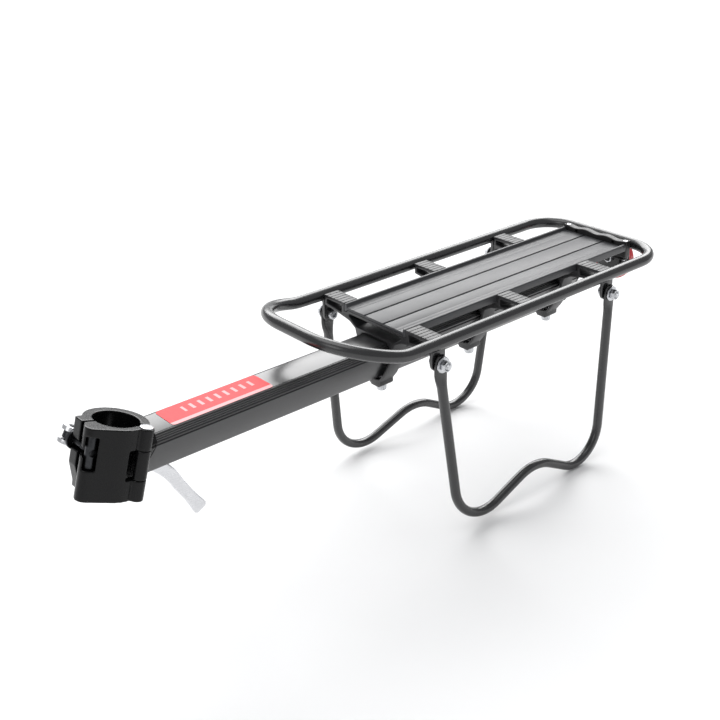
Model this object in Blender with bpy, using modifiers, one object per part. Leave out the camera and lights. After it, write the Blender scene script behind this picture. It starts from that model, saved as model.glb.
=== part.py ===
"""Seatpost-mounted quick-release bicycle rack with side guards.

World frame, in metres: +X runs back along the bicycle, +Y is the side of the quick-release
lever and +Z is up. The origin is the middle of the seatpost bore.
"""

import math

import bmesh
import bpy
from mathutils import Matrix, Vector

MM = 0.001
GAP = 0.3 * MM                  # gap left between pieces that touch

# Seatpost clamp
BORE = 31.8 * MM
COLLAR_HEIGHT = 52.0 * MM
JAW_WALL = 5.6 * MM
BODY_WALL = 6.6 * MM
SEAT_TILT = math.radians(17.0)  # the seatpost leans back at the top
KNUCKLE = 5.5 * MM
KNUCKLE_HEIGHT = 21.0 * MM
HINGE_PIN = 2.5 * MM
HINGE_HEAD = 4.6 * MM
SPLIT = 1.0 * MM                # half the gap between jaw and fin
BOLT = 2.5 * MM
BOLT_OFFSET = 5.1 * MM          # from the bore's wall forward to the bolt's axis
BOLT_HEIGHT = 8.0 * MM          # above the collar's middle
TRUNNION = 4.0 * MM
TRUNNION_WALL = 2.6 * MM
TRUNNION_LENGTH = 23.0 * MM
TRUNNION_SET = 9.0 * MM         # from the collar's middle plane towards the near side
POCKET_TURN = 30                # degrees the trunnion's pocket faces forward of square
FIN = 9.7 * MM
FIN_REACH = 4.0 * MM            # past the bolt
CHIN_HEIGHT = -6.0 * MM         # where the fin's front edge starts to fall back
CAM = 7.0 * MM
CAM_WASHER = 2.2 * MM
CAM_PIN = 2.5 * MM
LEVER_ANGLE = math.radians(33.0)

# Beam
BEAM_FRONT = 24.2 * MM
BEAM_LENGTH = 446.0 * MM
BEAM_TOP = 11.2 * MM
BEAM_DEPTH = 34.2 * MM
BEAM_FLAT = 13.5 * MM           # half width of the flat top
BEAM_HALF = 18.5 * MM
SHOULDER_DROP = 4.2 * MM
BEAM_FOOT = 4.6 * MM
BEAM_WALL = 2.2 * MM
SPIGOT = 34.0 * MM
CAP_THICKNESS = 3.0 * MM
LABEL_LENGTH = 86.0 * MM
LABEL_WIDTH = 25.0 * MM
LABEL_START = 43.0 * MM

# Crossbars
RACK_TOP = 30.5 * MM
CROSSBAR_FIRST = 245.2 * MM     # middle of the front crossbar
CROSSBAR_PITCH = 102.8 * MM
CROSSBAR_WIDTH = 14.4 * MM
PLATE = 3.0 * MM
PLATE_GROOVES = 5
RING_WALL = 2.2 * MM
BEAM_FIT = 0.4 * MM
RING_DROP = 42.7 * MM           # ring's foot below the beam's top
BOSS_HALF = 6.5 * MM
CLAMP_SCREW = 2.5 * MM

# Deck
DECK_HALF = 36.4 * MM
DECK_LENGTH = 276.5 * MM
DECK_STEP = 2.9 * MM            # the panel's top lies below the plates
DECK_SKIN = 2.2 * MM
RIB = 3.2 * MM
RIB_DEPTH = 6.6 * MM
DECK_GROOVE = 11.2 * MM         # from the middle
RIVET = 1.6 * MM
RIVET_SPREAD = 22.0 * MM

# Loop of tube
TUBE = 5.0 * MM
TUBE_SPAN = 135.0 * MM
LOOP_REAR = 527.0 * MM
LOOP_FRONT = 159.0 * MM
LOOP_KINK = 210.0 * MM
LOOP_RISE = 14.5 * MM
REAR_BEND = 32.0 * MM
FRONT_BEND = 50.0 * MM

# Side guards
GUARD = 4.0 * MM
GUARD_FLAT = 2.0 * MM           # half thickness of the flattened ends
GUARD_DEPTH = 171.0 * MM        # corner of the bent line below the bolts
GUARD_SPLAY = math.radians(3.4)
TAB = 3.0 * MM
TAB_HALF = 7.0 * MM
GUARD_BOLT = 2.5 * MM
GUARD_BOLT_DROP = 20.0 * MM     # below the plates
WASHER = 6.5 * MM

# M5 screws and nuts
SCREW_HEAD = 4.25 * MM
SCREW_HEAD_HEIGHT = 5.0 * MM
GUARD_HEAD_HEIGHT = 4.0 * MM
SOCKET = 4.0 * MM               # across its flats
NUT = 8.0 * MM                  # across its flats
NUT_HEIGHT = 4.0 * MM

# Rear end piece and reflector
END_SCREW_INSET = 3.4 * MM      # from the deck's edge
REFLECTOR = 22.0 * MM
REFLECTOR_HEIGHT = 1.5 * MM
REFLECTOR_SET_BACK = 12.0 * MM  # behind the loop's rear tube
STRIP = 1.8 * MM
DISH = 4.2 * MM                 # depth of the housing

HALF_PI = math.pi / 2


# ---------------------------------------------------------------- helpers

def clear_scene():
    for obj in list(bpy.data.objects):
        bpy.data.objects.remove(obj, do_unlink=True)


def new_collection(name):
    collection = bpy.data.collections.new(name)
    bpy.context.scene.collection.children.link(collection)
    return collection


def finish_of(name, colour, metallic, roughness):
    material = bpy.data.materials.new(name)
    material.use_nodes = True
    shader = material.node_tree.nodes["Principled BSDF"]
    shader.inputs["Base Color"].default_value = (*colour, 1.0)
    shader.inputs["Metallic"].default_value = metallic
    shader.inputs["Roughness"].default_value = roughness
    return material


FINISHES = {
    "anodised": ((0.02, 0.02, 0.022), 0.6, 0.35),
    "deck": ((0.16, 0.165, 0.175), 0.7, 0.4),
    "cast": ((0.012, 0.012, 0.013), 0.1, 0.3),
    "zinc": ((0.6, 0.6, 0.62), 1.0, 0.3),
    "polished": ((0.8, 0.8, 0.82), 1.0, 0.15),
    "plastic": ((0.02, 0.02, 0.02), 0.0, 0.5),
    "red": ((0.75, 0.03, 0.03), 0.0, 0.2),
    "sticker": ((0.8, 0.12, 0.12), 0.0, 0.5),
}


def piece_from(mesh_data, name, finish, parent=None):
    """Name a finished bmesh, give it its material and put it in the rack's collection."""
    bmesh.ops.recalc_face_normals(mesh_data, faces=mesh_data.faces)
    mesh = bpy.data.meshes.new(name)
    mesh_data.to_mesh(mesh)
    mesh_data.free()
    mesh.materials.append(finish_of(name, *FINISHES[finish]))
    mesh.shade_smooth()
    mesh.set_sharp_from_angle(angle=math.radians(35))
    obj = bpy.data.objects.new(name, mesh)
    rack.objects.link(obj)
    if parent:
        obj.parent = parent
    return obj


def scratch(mesh_data):
    """A plain object for a Boolean, removed once it has been used."""
    bmesh.ops.recalc_face_normals(mesh_data, faces=mesh_data.faces)
    mesh = bpy.data.meshes.new("scratch")
    mesh_data.to_mesh(mesh)
    mesh_data.free()
    obj = bpy.data.objects.new("scratch", mesh)
    rack.objects.link(obj)
    return obj


def combine(base, tool, operation):
    """Boolean of two bmeshes with the exact solver; returns the result as a bmesh."""
    base_obj = scratch(base)
    tool_obj = scratch(tool)
    modifier = base_obj.modifiers.new("combine", "BOOLEAN")
    modifier.operation = operation
    modifier.object = tool_obj
    bpy.context.view_layer.update()
    evaluated = base_obj.evaluated_get(bpy.context.evaluated_depsgraph_get())
    result = bmesh.new()
    result.from_mesh(evaluated.to_mesh())
    for obj in (base_obj, tool_obj):
        mesh = obj.data
        bpy.data.objects.remove(obj)
        bpy.data.meshes.remove(mesh)
    return result


def cut(base, *tools):
    for tool in tools:
        base = combine(base, tool, "DIFFERENCE")
    return base


def join(base, *tools):
    for tool in tools:
        base = combine(base, tool, "UNION")
    return base


def moved(solid, matrix):
    bmesh.ops.transform(solid, matrix=matrix, verts=solid.verts)
    return solid


def block(low, high):
    solid = bmesh.new()
    bmesh.ops.create_cube(solid, size=1.0)
    low, high = Vector(low), Vector(high)
    size = high - low
    scale = Matrix.Diagonal((*size, 1.0))
    return moved(solid, Matrix.Translation((low + high) / 2) @ scale)


def rod(start, end, radius, sides=16):
    """Cylinder between two points."""
    start, end = Vector(start), Vector(end)
    line = end - start
    solid = bmesh.new()
    bmesh.ops.create_cone(solid, cap_ends=True, segments=sides, radius1=radius, radius2=radius,
                          depth=line.length)
    turn = line.to_track_quat("Z", "Y").to_matrix().to_4x4()
    return moved(solid, Matrix.Translation((start + end) / 2) @ turn)


def arc(centre, radius, start, end, steps):
    """Points of an arc in a plane; angles in degrees."""
    points = []
    for i in range(steps + 1):
        angle = math.radians(start + (end - start) * i / steps)
        points.append((centre[0] + radius * math.cos(angle), centre[1] + radius * math.sin(angle)))
    return points


def mirrored(half):
    """Close a half outline, given from top to bottom at y >= 0, with its mirror image."""
    if half[0][1] == half[1][1]:
        half = half[1:]
    if half[-1][1] == half[-2][1]:
        half = half[:-1]
    other = [(-y, z) for y, z in reversed(half) if y > 0]
    return half + other


def extruded(outline, length, holes=()):
    """Solid from a flat outline with holes, standing on local z = 0."""
    curve = bpy.data.curves.new("outline", "CURVE")
    curve.dimensions = "2D"
    curve.fill_mode = "BOTH"
    curve.extrude = length / 2
    for loop in (outline, *holes):
        spline = curve.splines.new("POLY")
        spline.points.add(len(loop) - 1)
        spline.use_cyclic_u = True
        for point, (across, up) in zip(spline.points, loop):
            point.co = (across, up, 0.0, 1.0)
    obj = bpy.data.objects.new("outline", curve)
    rack.objects.link(obj)
    bpy.context.view_layer.update()
    evaluated = obj.evaluated_get(bpy.context.evaluated_depsgraph_get())
    solid = bmesh.new()
    solid.from_mesh(evaluated.to_mesh())
    bmesh.ops.remove_doubles(solid, verts=solid.verts, dist=0.00001)
    bpy.data.objects.remove(obj)
    bpy.data.curves.remove(curve)
    return moved(solid, Matrix.Translation((0.0, 0.0, length / 2)))


ALONG_X = Matrix(((0, 0, 1, 0), (1, 0, 0, 0), (0, 1, 0, 0), (0, 0, 0, 1)))


def section(outline, start, length, holes=()):
    """Extrusion along +X of a section drawn in the (y, z) plane."""
    return moved(extruded(outline, length, holes), Matrix.Translation((start, 0, 0)) @ ALONG_X)


def turned(profile, base, direction, sides=16):
    """Solid of revolution; profile is (radius, height) from the top down the outer side."""
    mesh = bpy.data.meshes.new("profile")
    points = [(radius, 0.0, height) for radius, height in profile]
    mesh.from_pydata(points, [(i, i + 1) for i in range(len(points) - 1)], [])
    obj = bpy.data.objects.new("profile", mesh)
    rack.objects.link(obj)
    screw = obj.modifiers.new("turn", "SCREW")
    screw.steps = sides
    screw.render_steps = sides
    screw.use_merge_vertices = True
    screw.merge_threshold = 0.00001
    bpy.context.view_layer.update()
    evaluated = obj.evaluated_get(bpy.context.evaluated_depsgraph_get())
    solid = bmesh.new()
    solid.from_mesh(evaluated.to_mesh())
    bmesh.ops.remove_doubles(solid, verts=solid.verts, dist=0.00001)
    bpy.data.objects.remove(obj)
    bpy.data.meshes.remove(mesh)
    turn = Vector(direction).to_track_quat("Z", "Y").to_matrix().to_4x4()
    return moved(solid, Matrix.Translation(base) @ turn)


def rounded_path(corners, bends, step=math.radians(10)):
    """Corner points joined by straight runs, with an arc of the given radius at each bend."""
    path = [Vector(corners[0])]
    for i, radius in enumerate(bends, start=1):
        before, corner, after = (Vector(corners[i + k]) for k in (-1, 0, 1))
        incoming = (corner - before).normalized()
        outgoing = (after - corner).normalized()
        turn = incoming.angle(outgoing)
        start = corner - incoming * radius * math.tan(turn / 2)
        inward = (outgoing - incoming * incoming.dot(outgoing)).normalized()
        centre = start + inward * radius
        count = max(2, round(turn / step))
        for k in range(count + 1):
            angle = turn * k / count
            path.append(centre - inward * radius * math.cos(angle) + incoming * radius * math.sin(angle))
    path.append(Vector(corners[-1]))
    return path


def sweep(path, side, sizes, sides=10, squareness=2.0, closed=False):
    """Tube along a path; sizes holds its half width along side and across it at each point."""
    solid = bmesh.new()
    rings = []
    count = len(path)
    for i, point in enumerate(path):
        if closed:
            ahead = path[(i + 1) % count] - path[i - 1]
        else:
            ahead = path[min(i + 1, count - 1)] - path[max(i - 1, 0)]
        across = ahead.cross(side).normalized()
        level = across.cross(ahead).normalized()
        ring = []
        for k in range(sides):
            angle = 2 * math.pi * (k + 0.5) / sides
            parts = []
            for value in (math.cos(angle), math.sin(angle)):
                parts.append(math.copysign(abs(value) ** (2 / squareness), value))
            offset = level * sizes[i][0] * parts[0] + across * sizes[i][1] * parts[1]
            ring.append(solid.verts.new(point + offset))
        rings.append(ring)
    for first, second in zip(rings, rings[1:] + rings[:1] if closed else rings[1:]):
        for k in range(sides):
            following = (k + 1) % sides
            solid.faces.new((first[k], first[following], second[following], second[k]))
    if not closed:
        solid.faces.new(list(reversed(rings[0])))
        solid.faces.new(rings[-1])
    return solid


def hexagon(base, direction, across_flats, height):
    solid = bmesh.new()
    bmesh.ops.create_cone(solid, cap_ends=True, segments=6, radius1=across_flats / math.sqrt(3),
                          radius2=across_flats / math.sqrt(3), depth=height)
    turn = Vector(direction).to_track_quat("Z", "Y").to_matrix().to_4x4()
    centre = Vector(base) + Vector(direction).normalized() * height / 2
    return moved(solid, Matrix.Translation(centre) @ turn)


def cap_screw(base, direction, shank, length, head, head_height, socket):
    """Screw with a socket head: base is under the head, direction is the way its tip points."""
    away = -Vector(direction).normalized()
    edge = 0.12 * head
    profile = [(0, head_height), (head - edge, head_height), (head, head_height - edge), (head, 0),
               (shank, 0), (shank, -length + 0.4 * shank), (0.7 * shank, -length), (0, -length)]
    solid = turned(profile, base, away)
    depth = 0.6 * head_height
    socket_base = Vector(base) + away * (head_height - depth)
    return cut(solid, hexagon(socket_base, away, socket, depth + head_height))


# ---------------------------------------------------------------- seatpost clamp

HINGE = (12.5 * MM, -(BORE / 2 + KNUCKLE - 2.9 * MM))
BOLT_FORWARD = BORE / 2 + BOLT_OFFSET
FIN_END = SPLIT + FIN
CAM_SET = FIN_END + GAP + CAM_WASHER + GAP + CAM


def collar_slab(outline, low, high):
    return moved(extruded(outline, high - low), Matrix.Translation((0, 0, low)))


def upright(centre, radius, low, high, sides=24):
    return rod((centre[0], centre[1], low), (centre[0], centre[1], high), radius, sides)


def hull(points):
    """Smallest convex outline round the points, counterclockwise."""
    ordered = sorted(set(points))
    outline = []
    for run in (ordered, ordered[::-1]):
        start = len(outline)
        for point in run:
            while len(outline) - start >= 2:
                (ax, ay), (bx, by) = outline[-2:]
                if (bx - ax) * (point[1] - ay) - (by - ay) * (point[0] - ax) > 0:
                    break
                outline.pop()
            outline.append(point)
        outline.pop()
    return outline


def clamp_body(frame):
    """Rear half of the collar with the fin, the middle knuckle, the flange and the spigot."""
    half = COLLAR_HEIGHT / 2
    outer = BORE / 2 + BODY_WALL
    fin_far = math.degrees(math.asin(FIN_END / outer))
    fin_near = math.degrees(math.asin(SPLIT / (BORE / 2)))
    tip = -(BOLT_FORWARD + FIN_REACH)
    outline = arc((0, 0), outer, -38, 180 - fin_far, 34)
    # the fin's outer face falls away on an arc about the trunnion, so that the bolt can swing out
    reach = FIN_END + TRUNNION_SET
    swept = math.degrees(math.asin(FIN_REACH / reach))
    outline += arc((-BOLT_FORWARD, -TRUNNION_SET), reach, 90, 90 + swept, 6) + [(tip, SPLIT)]
    outline += arc((0, 0), BORE / 2, 180 - fin_near, -38, 36)
    solid = collar_slab(outline, -half, half)
    arm = block((HINGE[0] - 1.5 * MM, HINGE[1], -KNUCKLE_HEIGHT / 2),
                (HINGE[0] + KNUCKLE, -BORE / 2 + 5.5 * MM, KNUCKLE_HEIGHT / 2))
    knuckle = upright(HINGE, KNUCKLE, -KNUCKLE_HEIGHT / 2, KNUCKLE_HEIGHT / 2)
    solid = join(solid, arm, knuckle)
    # flange and spigot are square to the beam, so they are turned back from the collar's tilt
    level = Matrix.Rotation(-SEAT_TILT, 4, "Y")
    lean = math.tan(SEAT_TILT)
    flange = sheared(section(mirrored(beam_half(plain=True)), BORE / 2 + 2.5 * MM,
                             BEAM_FRONT - GAP - BORE / 2 - 2.5 * MM), lean)
    plug = mirrored(beam_inside(GAP))
    spigot = sheared(section(plug, BEAM_FRONT - 3 * MM, SPIGOT + 3 * MM), lean)
    solid = join(solid, moved(join(flange, spigot), level))
    bore = upright((0, 0), BORE / 2, -half - 9 * MM, half + 9 * MM, 60)
    pin = upright(HINGE, HINGE_PIN + GAP, -half, half)
    # room for the jaw's knuckles above and below the middle one
    room = [upright(HINGE, KNUCKLE + 0.8 * MM, KNUCKLE_HEIGHT / 2, half + MM),
            upright(HINGE, KNUCKLE + 0.8 * MM, -half - MM, -KNUCKLE_HEIGHT / 2)]
    slot_end = -(BOLT_FORWARD - BOLT - 1.6 * MM)
    slot = block((tip - 5 * MM, SPLIT - 5 * MM, BOLT_HEIGHT - BOLT - 0.6 * MM),
                 (slot_end, FIN_END + 5 * MM, BOLT_HEIGHT + BOLT + 0.6 * MM))
    # the fin's front edge is cut back towards the foot of the collar
    before, below = tip - 9 * MM, -half - 9 * MM
    chin_foot = tip + 7 * MM
    chin = [(before, CHIN_HEIGHT), (tip, CHIN_HEIGHT), (chin_foot, -half), (chin_foot, below)]
    chin.append((before, below))
    chin_cut = moved(extruded(chin, 2 * FIN_END), Matrix.Translation((0, 1.5 * FIN_END, 0))
                     @ Matrix.Rotation(HALF_PI, 4, "X"))
    sides = (FIN_END, FIN_END + CAM_WASHER, outer + CAM)
    bolt_line = [Vector((-BOLT_FORWARD, y, BOLT_HEIGHT)) for y in sides]
    seat = rod(bolt_line[0], bolt_line[2], CAM + 1.7 * MM, 24)
    swing = rod(bolt_line[1], bolt_line[2], CAM + 4 * MM, 24)
    solid = cut(solid, bore, pin, *room, slot, chin_cut, seat, swing)
    solid = cut(solid, *[moved(tool, level) for tool in beam_pin_holes(GAP)])
    return piece_from(solid, "clamp_body", "cast", frame)


def clamp_jaw(pivot):
    """Near half of the collar with its knuckles, the bolt slot and the trunnion pocket."""
    half = COLLAR_HEIGHT / 2
    outer = BORE / 2 + JAW_WALL
    end = math.degrees(math.asin(SPLIT / outer))
    inner_end = math.degrees(math.asin(SPLIT / (BORE / 2)))
    outline = arc((0, 0), outer, -62, -180 + end, 30)
    outline += arc((0, 0), BORE / 2, -180 + inner_end, -62, 28)
    solid = collar_slab(outline, -half, half)
    trunnion = (-BOLT_FORWARD, -TRUNNION_SET)
    # a fairing wraps the ring and the trunnion's boss in one smooth outer face
    tip = -(BOLT_FORWARD + FIN_REACH)
    wrapped = arc((0, 0), outer, -110, -180 + end, 20) + arc(trunnion, TRUNNION + TRUNNION_WALL, 0, 345, 23)
    wrapped += [(tip, -SPLIT - 2 * MM), (tip + MM, -SPLIT)]
    fairing = collar_slab(hull([point for point in wrapped if point[1] <= -SPLIT + 1e-7]), -half, half)
    knuckle = upright(HINGE, KNUCKLE, -half, half)
    solid = join(solid, fairing, knuckle)
    bore = upright((0, 0), BORE / 2, -half - MM, half + MM, 60)
    clear = KNUCKLE_HEIGHT / 2 + GAP
    window = block((MM, HINGE[1] - 2 * KNUCKLE, -clear), (HINGE[0] + 2 * KNUCKLE, 0, clear))
    pin = upright(HINGE, HINGE_PIN + GAP, -half - MM, half + MM)
    low = BOLT_HEIGHT - TRUNNION_LENGTH / 2 - GAP
    high = BOLT_HEIGHT + TRUNNION_LENGTH / 2 + GAP
    room = TRUNNION + GAP
    outline = arc(trunnion, room, -POCKET_TURN, 180 - POCKET_TURN, 12)
    facing = math.radians(POCKET_TURN)
    away = Vector((-math.sin(facing), -math.cos(facing))) * 2 * TRUNNION_LENGTH
    outline += [tuple(Vector(outline[-1]) + away), tuple(Vector(outline[0]) + away)]
    pocket = collar_slab(outline, low, high)
    slot = BOLT + 0.6 * MM
    way = block((trunnion[0] - slot, trunnion[1], BOLT_HEIGHT - slot),
                (trunnion[0] + slot, 9 * MM, BOLT_HEIGHT + slot))
    swing = block((-60 * MM, trunnion[1] - slot, BOLT_HEIGHT - slot),
                  (trunnion[0] + slot, 9 * MM, BOLT_HEIGHT + slot))
    solid = cut(solid, bore, window, pin, pocket, way, swing)
    solid = moved(solid, Matrix.Translation((-HINGE[0], -HINGE[1], 0)))
    return piece_from(solid, "clamp_jaw", "cast", pivot)


def clamp_hardware(frame, bolt_pivot, lever_pivot):
    half = COLLAR_HEIGHT / 2
    pin = upright(HINGE, HINGE_PIN, -half + 0.5 * MM, half + MM)
    head = upright(HINGE, HINGE_HEAD, half + GAP, half + 2 * MM)
    piece_from(join(pin, head), "hinge_pin", "zinc", frame)
    trunnion = upright((0, 0), TRUNNION, -TRUNNION_LENGTH / 2, TRUNNION_LENGTH / 2)
    trunnion = cut(trunnion, rod((0, -20 * MM, 0), (0, 20 * MM, 0), BOLT + GAP))
    piece_from(trunnion, "trunnion_pin", "zinc", bolt_pivot)
    eye = CAM_SET + TRUNNION_SET
    shank = rod((0, -0.7 * TRUNNION, 0), (0, eye - 2 * MM, 0), BOLT)
    head = rod((0, eye, -2.6 * MM), (0, eye, 2.6 * MM), 4.6 * MM, 24)
    to_eye = Matrix.Translation((0, eye, 0))
    lean = to_eye @ Matrix.Rotation(PIN_LEAN, 4, "Y") @ to_eye.inverted()
    head = moved(head, lean)
    hole = moved(rod((0, eye, -9 * MM), (0, eye, 9 * MM), CAM_PIN + GAP), lean)
    piece_from(cut(join(shank, head), hole), "swing_bolt", "zinc", bolt_pivot)
    seat = FIN_END + TRUNNION_SET + GAP
    washer = cut(rod((0, seat, 0), (0, seat + CAM_WASHER, 0), 7 * MM, 28),
                 rod((0, seat - MM, 0), (0, seat + CAM_WASHER + MM, 0), BOLT + GAP))
    piece_from(washer, "cam_washer", "zinc", bolt_pivot)
    cam_pin = moved(rod((0, eye, -CAM), (0, eye, CAM), CAM_PIN), lean)
    piece_from(cam_pin, "cam_pin", "zinc", bolt_pivot)
    lever(lever_pivot)


PIN_LEAN = LEVER_ANGLE - SEAT_TILT


def lever(pivot):
    """Curved lever: its head turns on the cam pin, its arm passes the collar and curves down."""
    eye = Vector((0, 0, 0))
    # the pivot's own x runs along the lever, y away from the bicycle's middle, z up the cam pin
    corners = [(9 * MM, 4.5 * MM, 0), (34 * MM, 6.0 * MM, -1 * MM), (82.6 * MM, -1.5 * MM, -8.5 * MM),
               (104 * MM, -4.5 * MM, -18.4 * MM), (128 * MM, -8.5 * MM, -31 * MM)]
    path = smooth_line([Vector(c) for c in corners], 16)
    sizes = []
    for i in range(len(path)):
        share = i / (len(path) - 1)
        flare = max(0.0, share - 0.8) * 12 * MM
        sizes.append((2.6 * MM - 0.4 * MM * share, 6.0 * MM - 1.4 * MM * share + flare))
    sizes[0] = (3.0 * MM, 6.0 * MM)
    sizes[-1] = (1.5 * MM, 4.5 * MM)
    arm = sweep(path, Vector((0, 1, 0)), sizes, sides=12, squareness=3.0)
    head = rod(eye - Vector((0, 0, 6.5 * MM)), eye + Vector((0, 0, 6.5 * MM)), CAM, 28)
    neck = block((2 * MM, 1.6 * MM, -5.5 * MM), (12 * MM, CAM - 0.2 * MM, 5.5 * MM))
    solid = join(arm, head, neck)
    fork = block((-20 * MM, -30 * MM, -3.2 * MM), (5.6 * MM, 30 * MM, 3.2 * MM))
    hole = rod((0, 0, -20 * MM), (0, 0, 20 * MM), CAM_PIN + GAP)
    piece_from(cut(solid, fork, hole), "qr_lever", "polished", pivot)


def smooth_line(points, count):
    """Catmull-Rom line through the points, evenly sampled in its parameter."""
    ends = [points[0] * 2 - points[1]] + points + [points[-1] * 2 - points[-2]]
    line = []
    for i in range(count + 1):
        place = i / count * (len(points) - 1)
        k = min(int(place), len(points) - 2)
        t = place - k
        a, b, c, d = ends[k:k + 4]
        line.append(0.5 * (2 * b + (c - a) * t + (2 * a - 5 * b + 4 * c - d) * t ** 2
                           + (3 * b - a - 3 * c + d) * t ** 3))
    return line


# ---------------------------------------------------------------- beam

SHOULDER = BEAM_TOP - SHOULDER_DROP
BEAM_BOTTOM = BEAM_TOP - BEAM_DEPTH


def beam_half(plain=False, ridges=3):
    """Half of the beam's outline from the top to the bottom; plain leaves out the ridges."""
    half = [(0, BEAM_TOP), (BEAM_FLAT, BEAM_TOP)]
    run, drop = BEAM_HALF - BEAM_FLAT, SHOULDER_DROP
    if not plain:
        for i in range(ridges):
            for share, depth in ((0.62, 0.0), (0.8, 0.6 * MM), (1.0, 0.0)):
                place = (i + share) / ridges
                half.append((BEAM_FLAT + run * place - depth, BEAM_TOP - drop * place - depth))
        half += [(BEAM_HALF, SHOULDER - 1.0 * MM), (BEAM_HALF - 1.3 * MM, SHOULDER - 1.5 * MM)]
        half += [(BEAM_HALF - 1.3 * MM, SHOULDER - 2.2 * MM)]
    half += [(BEAM_HALF - 0.3 * MM, SHOULDER - 2.8 * MM)]
    half += [(BEAM_FOOT, BEAM_BOTTOM + 1.6 * MM), (0.5 * BEAM_FOOT, BEAM_BOTTOM + 0.2 * MM), (0, BEAM_BOTTOM)]
    return half


def beam_inside(gap=0.0):
    """Half outline of the hollow, drawn in by gap."""
    wall = BEAM_WALL + gap
    return [(0, BEAM_TOP - wall), (BEAM_FLAT - 0.4 * wall, BEAM_TOP - wall),
            (BEAM_HALF - 1.5 * wall, SHOULDER - 0.6 * wall), (BEAM_HALF - 1.6 * wall, SHOULDER - 4 * MM),
            (BEAM_FOOT - 0.6 * wall, BEAM_BOTTOM + 1.9 * wall), (0, BEAM_BOTTOM + 1.3 * wall)]


def sheared(solid, lean):
    """Slant both ends of an extrusion so that they follow the collar's lean."""
    for vert in solid.verts:
        vert.co.x += vert.co.z * lean
    return solid


def beam_pin_holes(gap):
    holes = []
    for share in (0.4, 0.75):
        x = BEAM_FRONT + SPIGOT * share
        holes.append(rod((x, 0, BEAM_BOTTOM + 0.3 * MM - 5 * gap / GAP * MM),
                         (x, 0, BEAM_BOTTOM + 12 * MM + gap), 2 * MM + gap))
    return holes


def beam():
    end = BEAM_FRONT + BEAM_LENGTH
    solid = section(mirrored(beam_half()), BEAM_FRONT, BEAM_LENGTH, [mirrored(beam_inside())])
    lean = math.tan(SEAT_TILT)
    for vert in solid.verts:
        if vert.co.x < BEAM_FRONT + MM:
            vert.co.x += vert.co.z * lean
    solid = cut(solid, *beam_pin_holes(GAP))
    piece_from(solid, "beam", "anodised")
    for name, pin in zip(("beam_pin_front", "beam_pin_rear"), beam_pin_holes(0.0)):
        piece_from(pin, name, "zinc")
    plug = section(mirrored(beam_inside(GAP)), end - 12 * MM, 12 * MM + GAP + MM)
    face = section(mirrored(beam_half(plain=True)), end + GAP, CAP_THICKNESS)
    piece_from(join(face, plug), "beam_end_cap", "plastic")
    label = block((LABEL_START, -LABEL_WIDTH / 2, BEAM_TOP + GAP / 3),
                  (LABEL_START + LABEL_LENGTH, LABEL_WIDTH / 2, BEAM_TOP + GAP))
    piece_from(label, "beam_label", "sticker")


# ---------------------------------------------------------------- rack on the beam

TUBE_Y = TUBE_SPAN / 2
TUBE_Z = RACK_TOP - TUBE / 2
DECK_TOP = RACK_TOP - DECK_STEP
WEB_TOP = DECK_TOP - DECK_SKIN - GAP
RIB_BOTTOM = RACK_TOP - RIB_DEPTH
RING_FOOT = BEAM_TOP - RING_DROP
CROSSBARS = [CROSSBAR_FIRST + CROSSBAR_PITCH * i for i in range(3)]
PLACES = ("front", "middle", "rear")
SIDES = (("left", 1), ("right", -1))
TAB_INSIDE = TUBE_Y - TUBE + GAP
WALL_END = TUBE_Y - TUBE - 0.8 * MM
CELL_END = WALL_END - 2.5 * MM
TUBE_SCREW = 1.4 * MM
TUBE_SCREW_DIP = math.radians(17)


def crossbar_half():
    """Half outline of the crossbar, from the middle of the web round to the foot."""
    fit = TUBE + 2 * GAP
    inside = DECK_HALF + GAP
    plate_end = TUBE_Y - math.sqrt(fit ** 2 - (RACK_TOP - TUBE_Z) ** 2)
    strut = RACK_TOP - PLATE - 6.0 * MM
    ring = BEAM_HALF + BEAM_FIT + RING_WALL
    half = [(0, WEB_TOP), (DECK_HALF - RIB - GAP, WEB_TOP), (DECK_HALF - RIB - GAP, RIB_BOTTOM - GAP)]
    half += [(inside, RIB_BOTTOM - GAP), (inside, RACK_TOP)]
    half += plate_grooves(inside, plate_end)
    half += [(plate_end, RACK_TOP), (TUBE_Y - fit, TUBE_Z), (WALL_END, TUBE_Z - 0.55 * fit)]
    half += [(WALL_END, strut), (46 * MM, strut - 2.1 * MM), (DECK_HALF + 3.6 * MM, strut - 3.1 * MM)]
    half += [(DECK_HALF - 5.7 * MM, strut - 4.9 * MM), (ring + 2.6 * MM, BEAM_TOP + 1.2 * MM)]
    half += [(ring + 1.0 * MM, SHOULDER), (ring, SHOULDER - 4.5 * MM)]
    half += ring_side(RING_WALL)
    half += [(BOSS_HALF, RING_FOOT + 5.5 * MM), (BOSS_HALF, RING_FOOT + 2 * MM)]
    half += [(BOSS_HALF - 2 * MM, RING_FOOT), (0, RING_FOOT)]
    return half


def plate_grooves(start, end):
    """Shallow grooves along the plate's top."""
    points = []
    pitch = (end - start) / (PLATE_GROOVES + 1)
    for i in range(1, PLATE_GROOVES + 1):
        middle = start + pitch * i
        points += [(middle - 0.7 * MM, RACK_TOP), (middle - 0.35 * MM, RACK_TOP - 0.5 * MM)]
        points += [(middle + 0.35 * MM, RACK_TOP - 0.5 * MM), (middle + 0.7 * MM, RACK_TOP)]
    return points


def ring_side(wall):
    """The ring's slanting side, wall away from its inner face."""
    side = [(17.7 * MM, SHOULDER - 10.0 * MM), (12.9 * MM, SHOULDER - 19.2 * MM),
            (9.0 * MM, SHOULDER - 26.2 * MM)]
    return [(y + wall, z - 0.25 * wall) for y, z in side]


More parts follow.
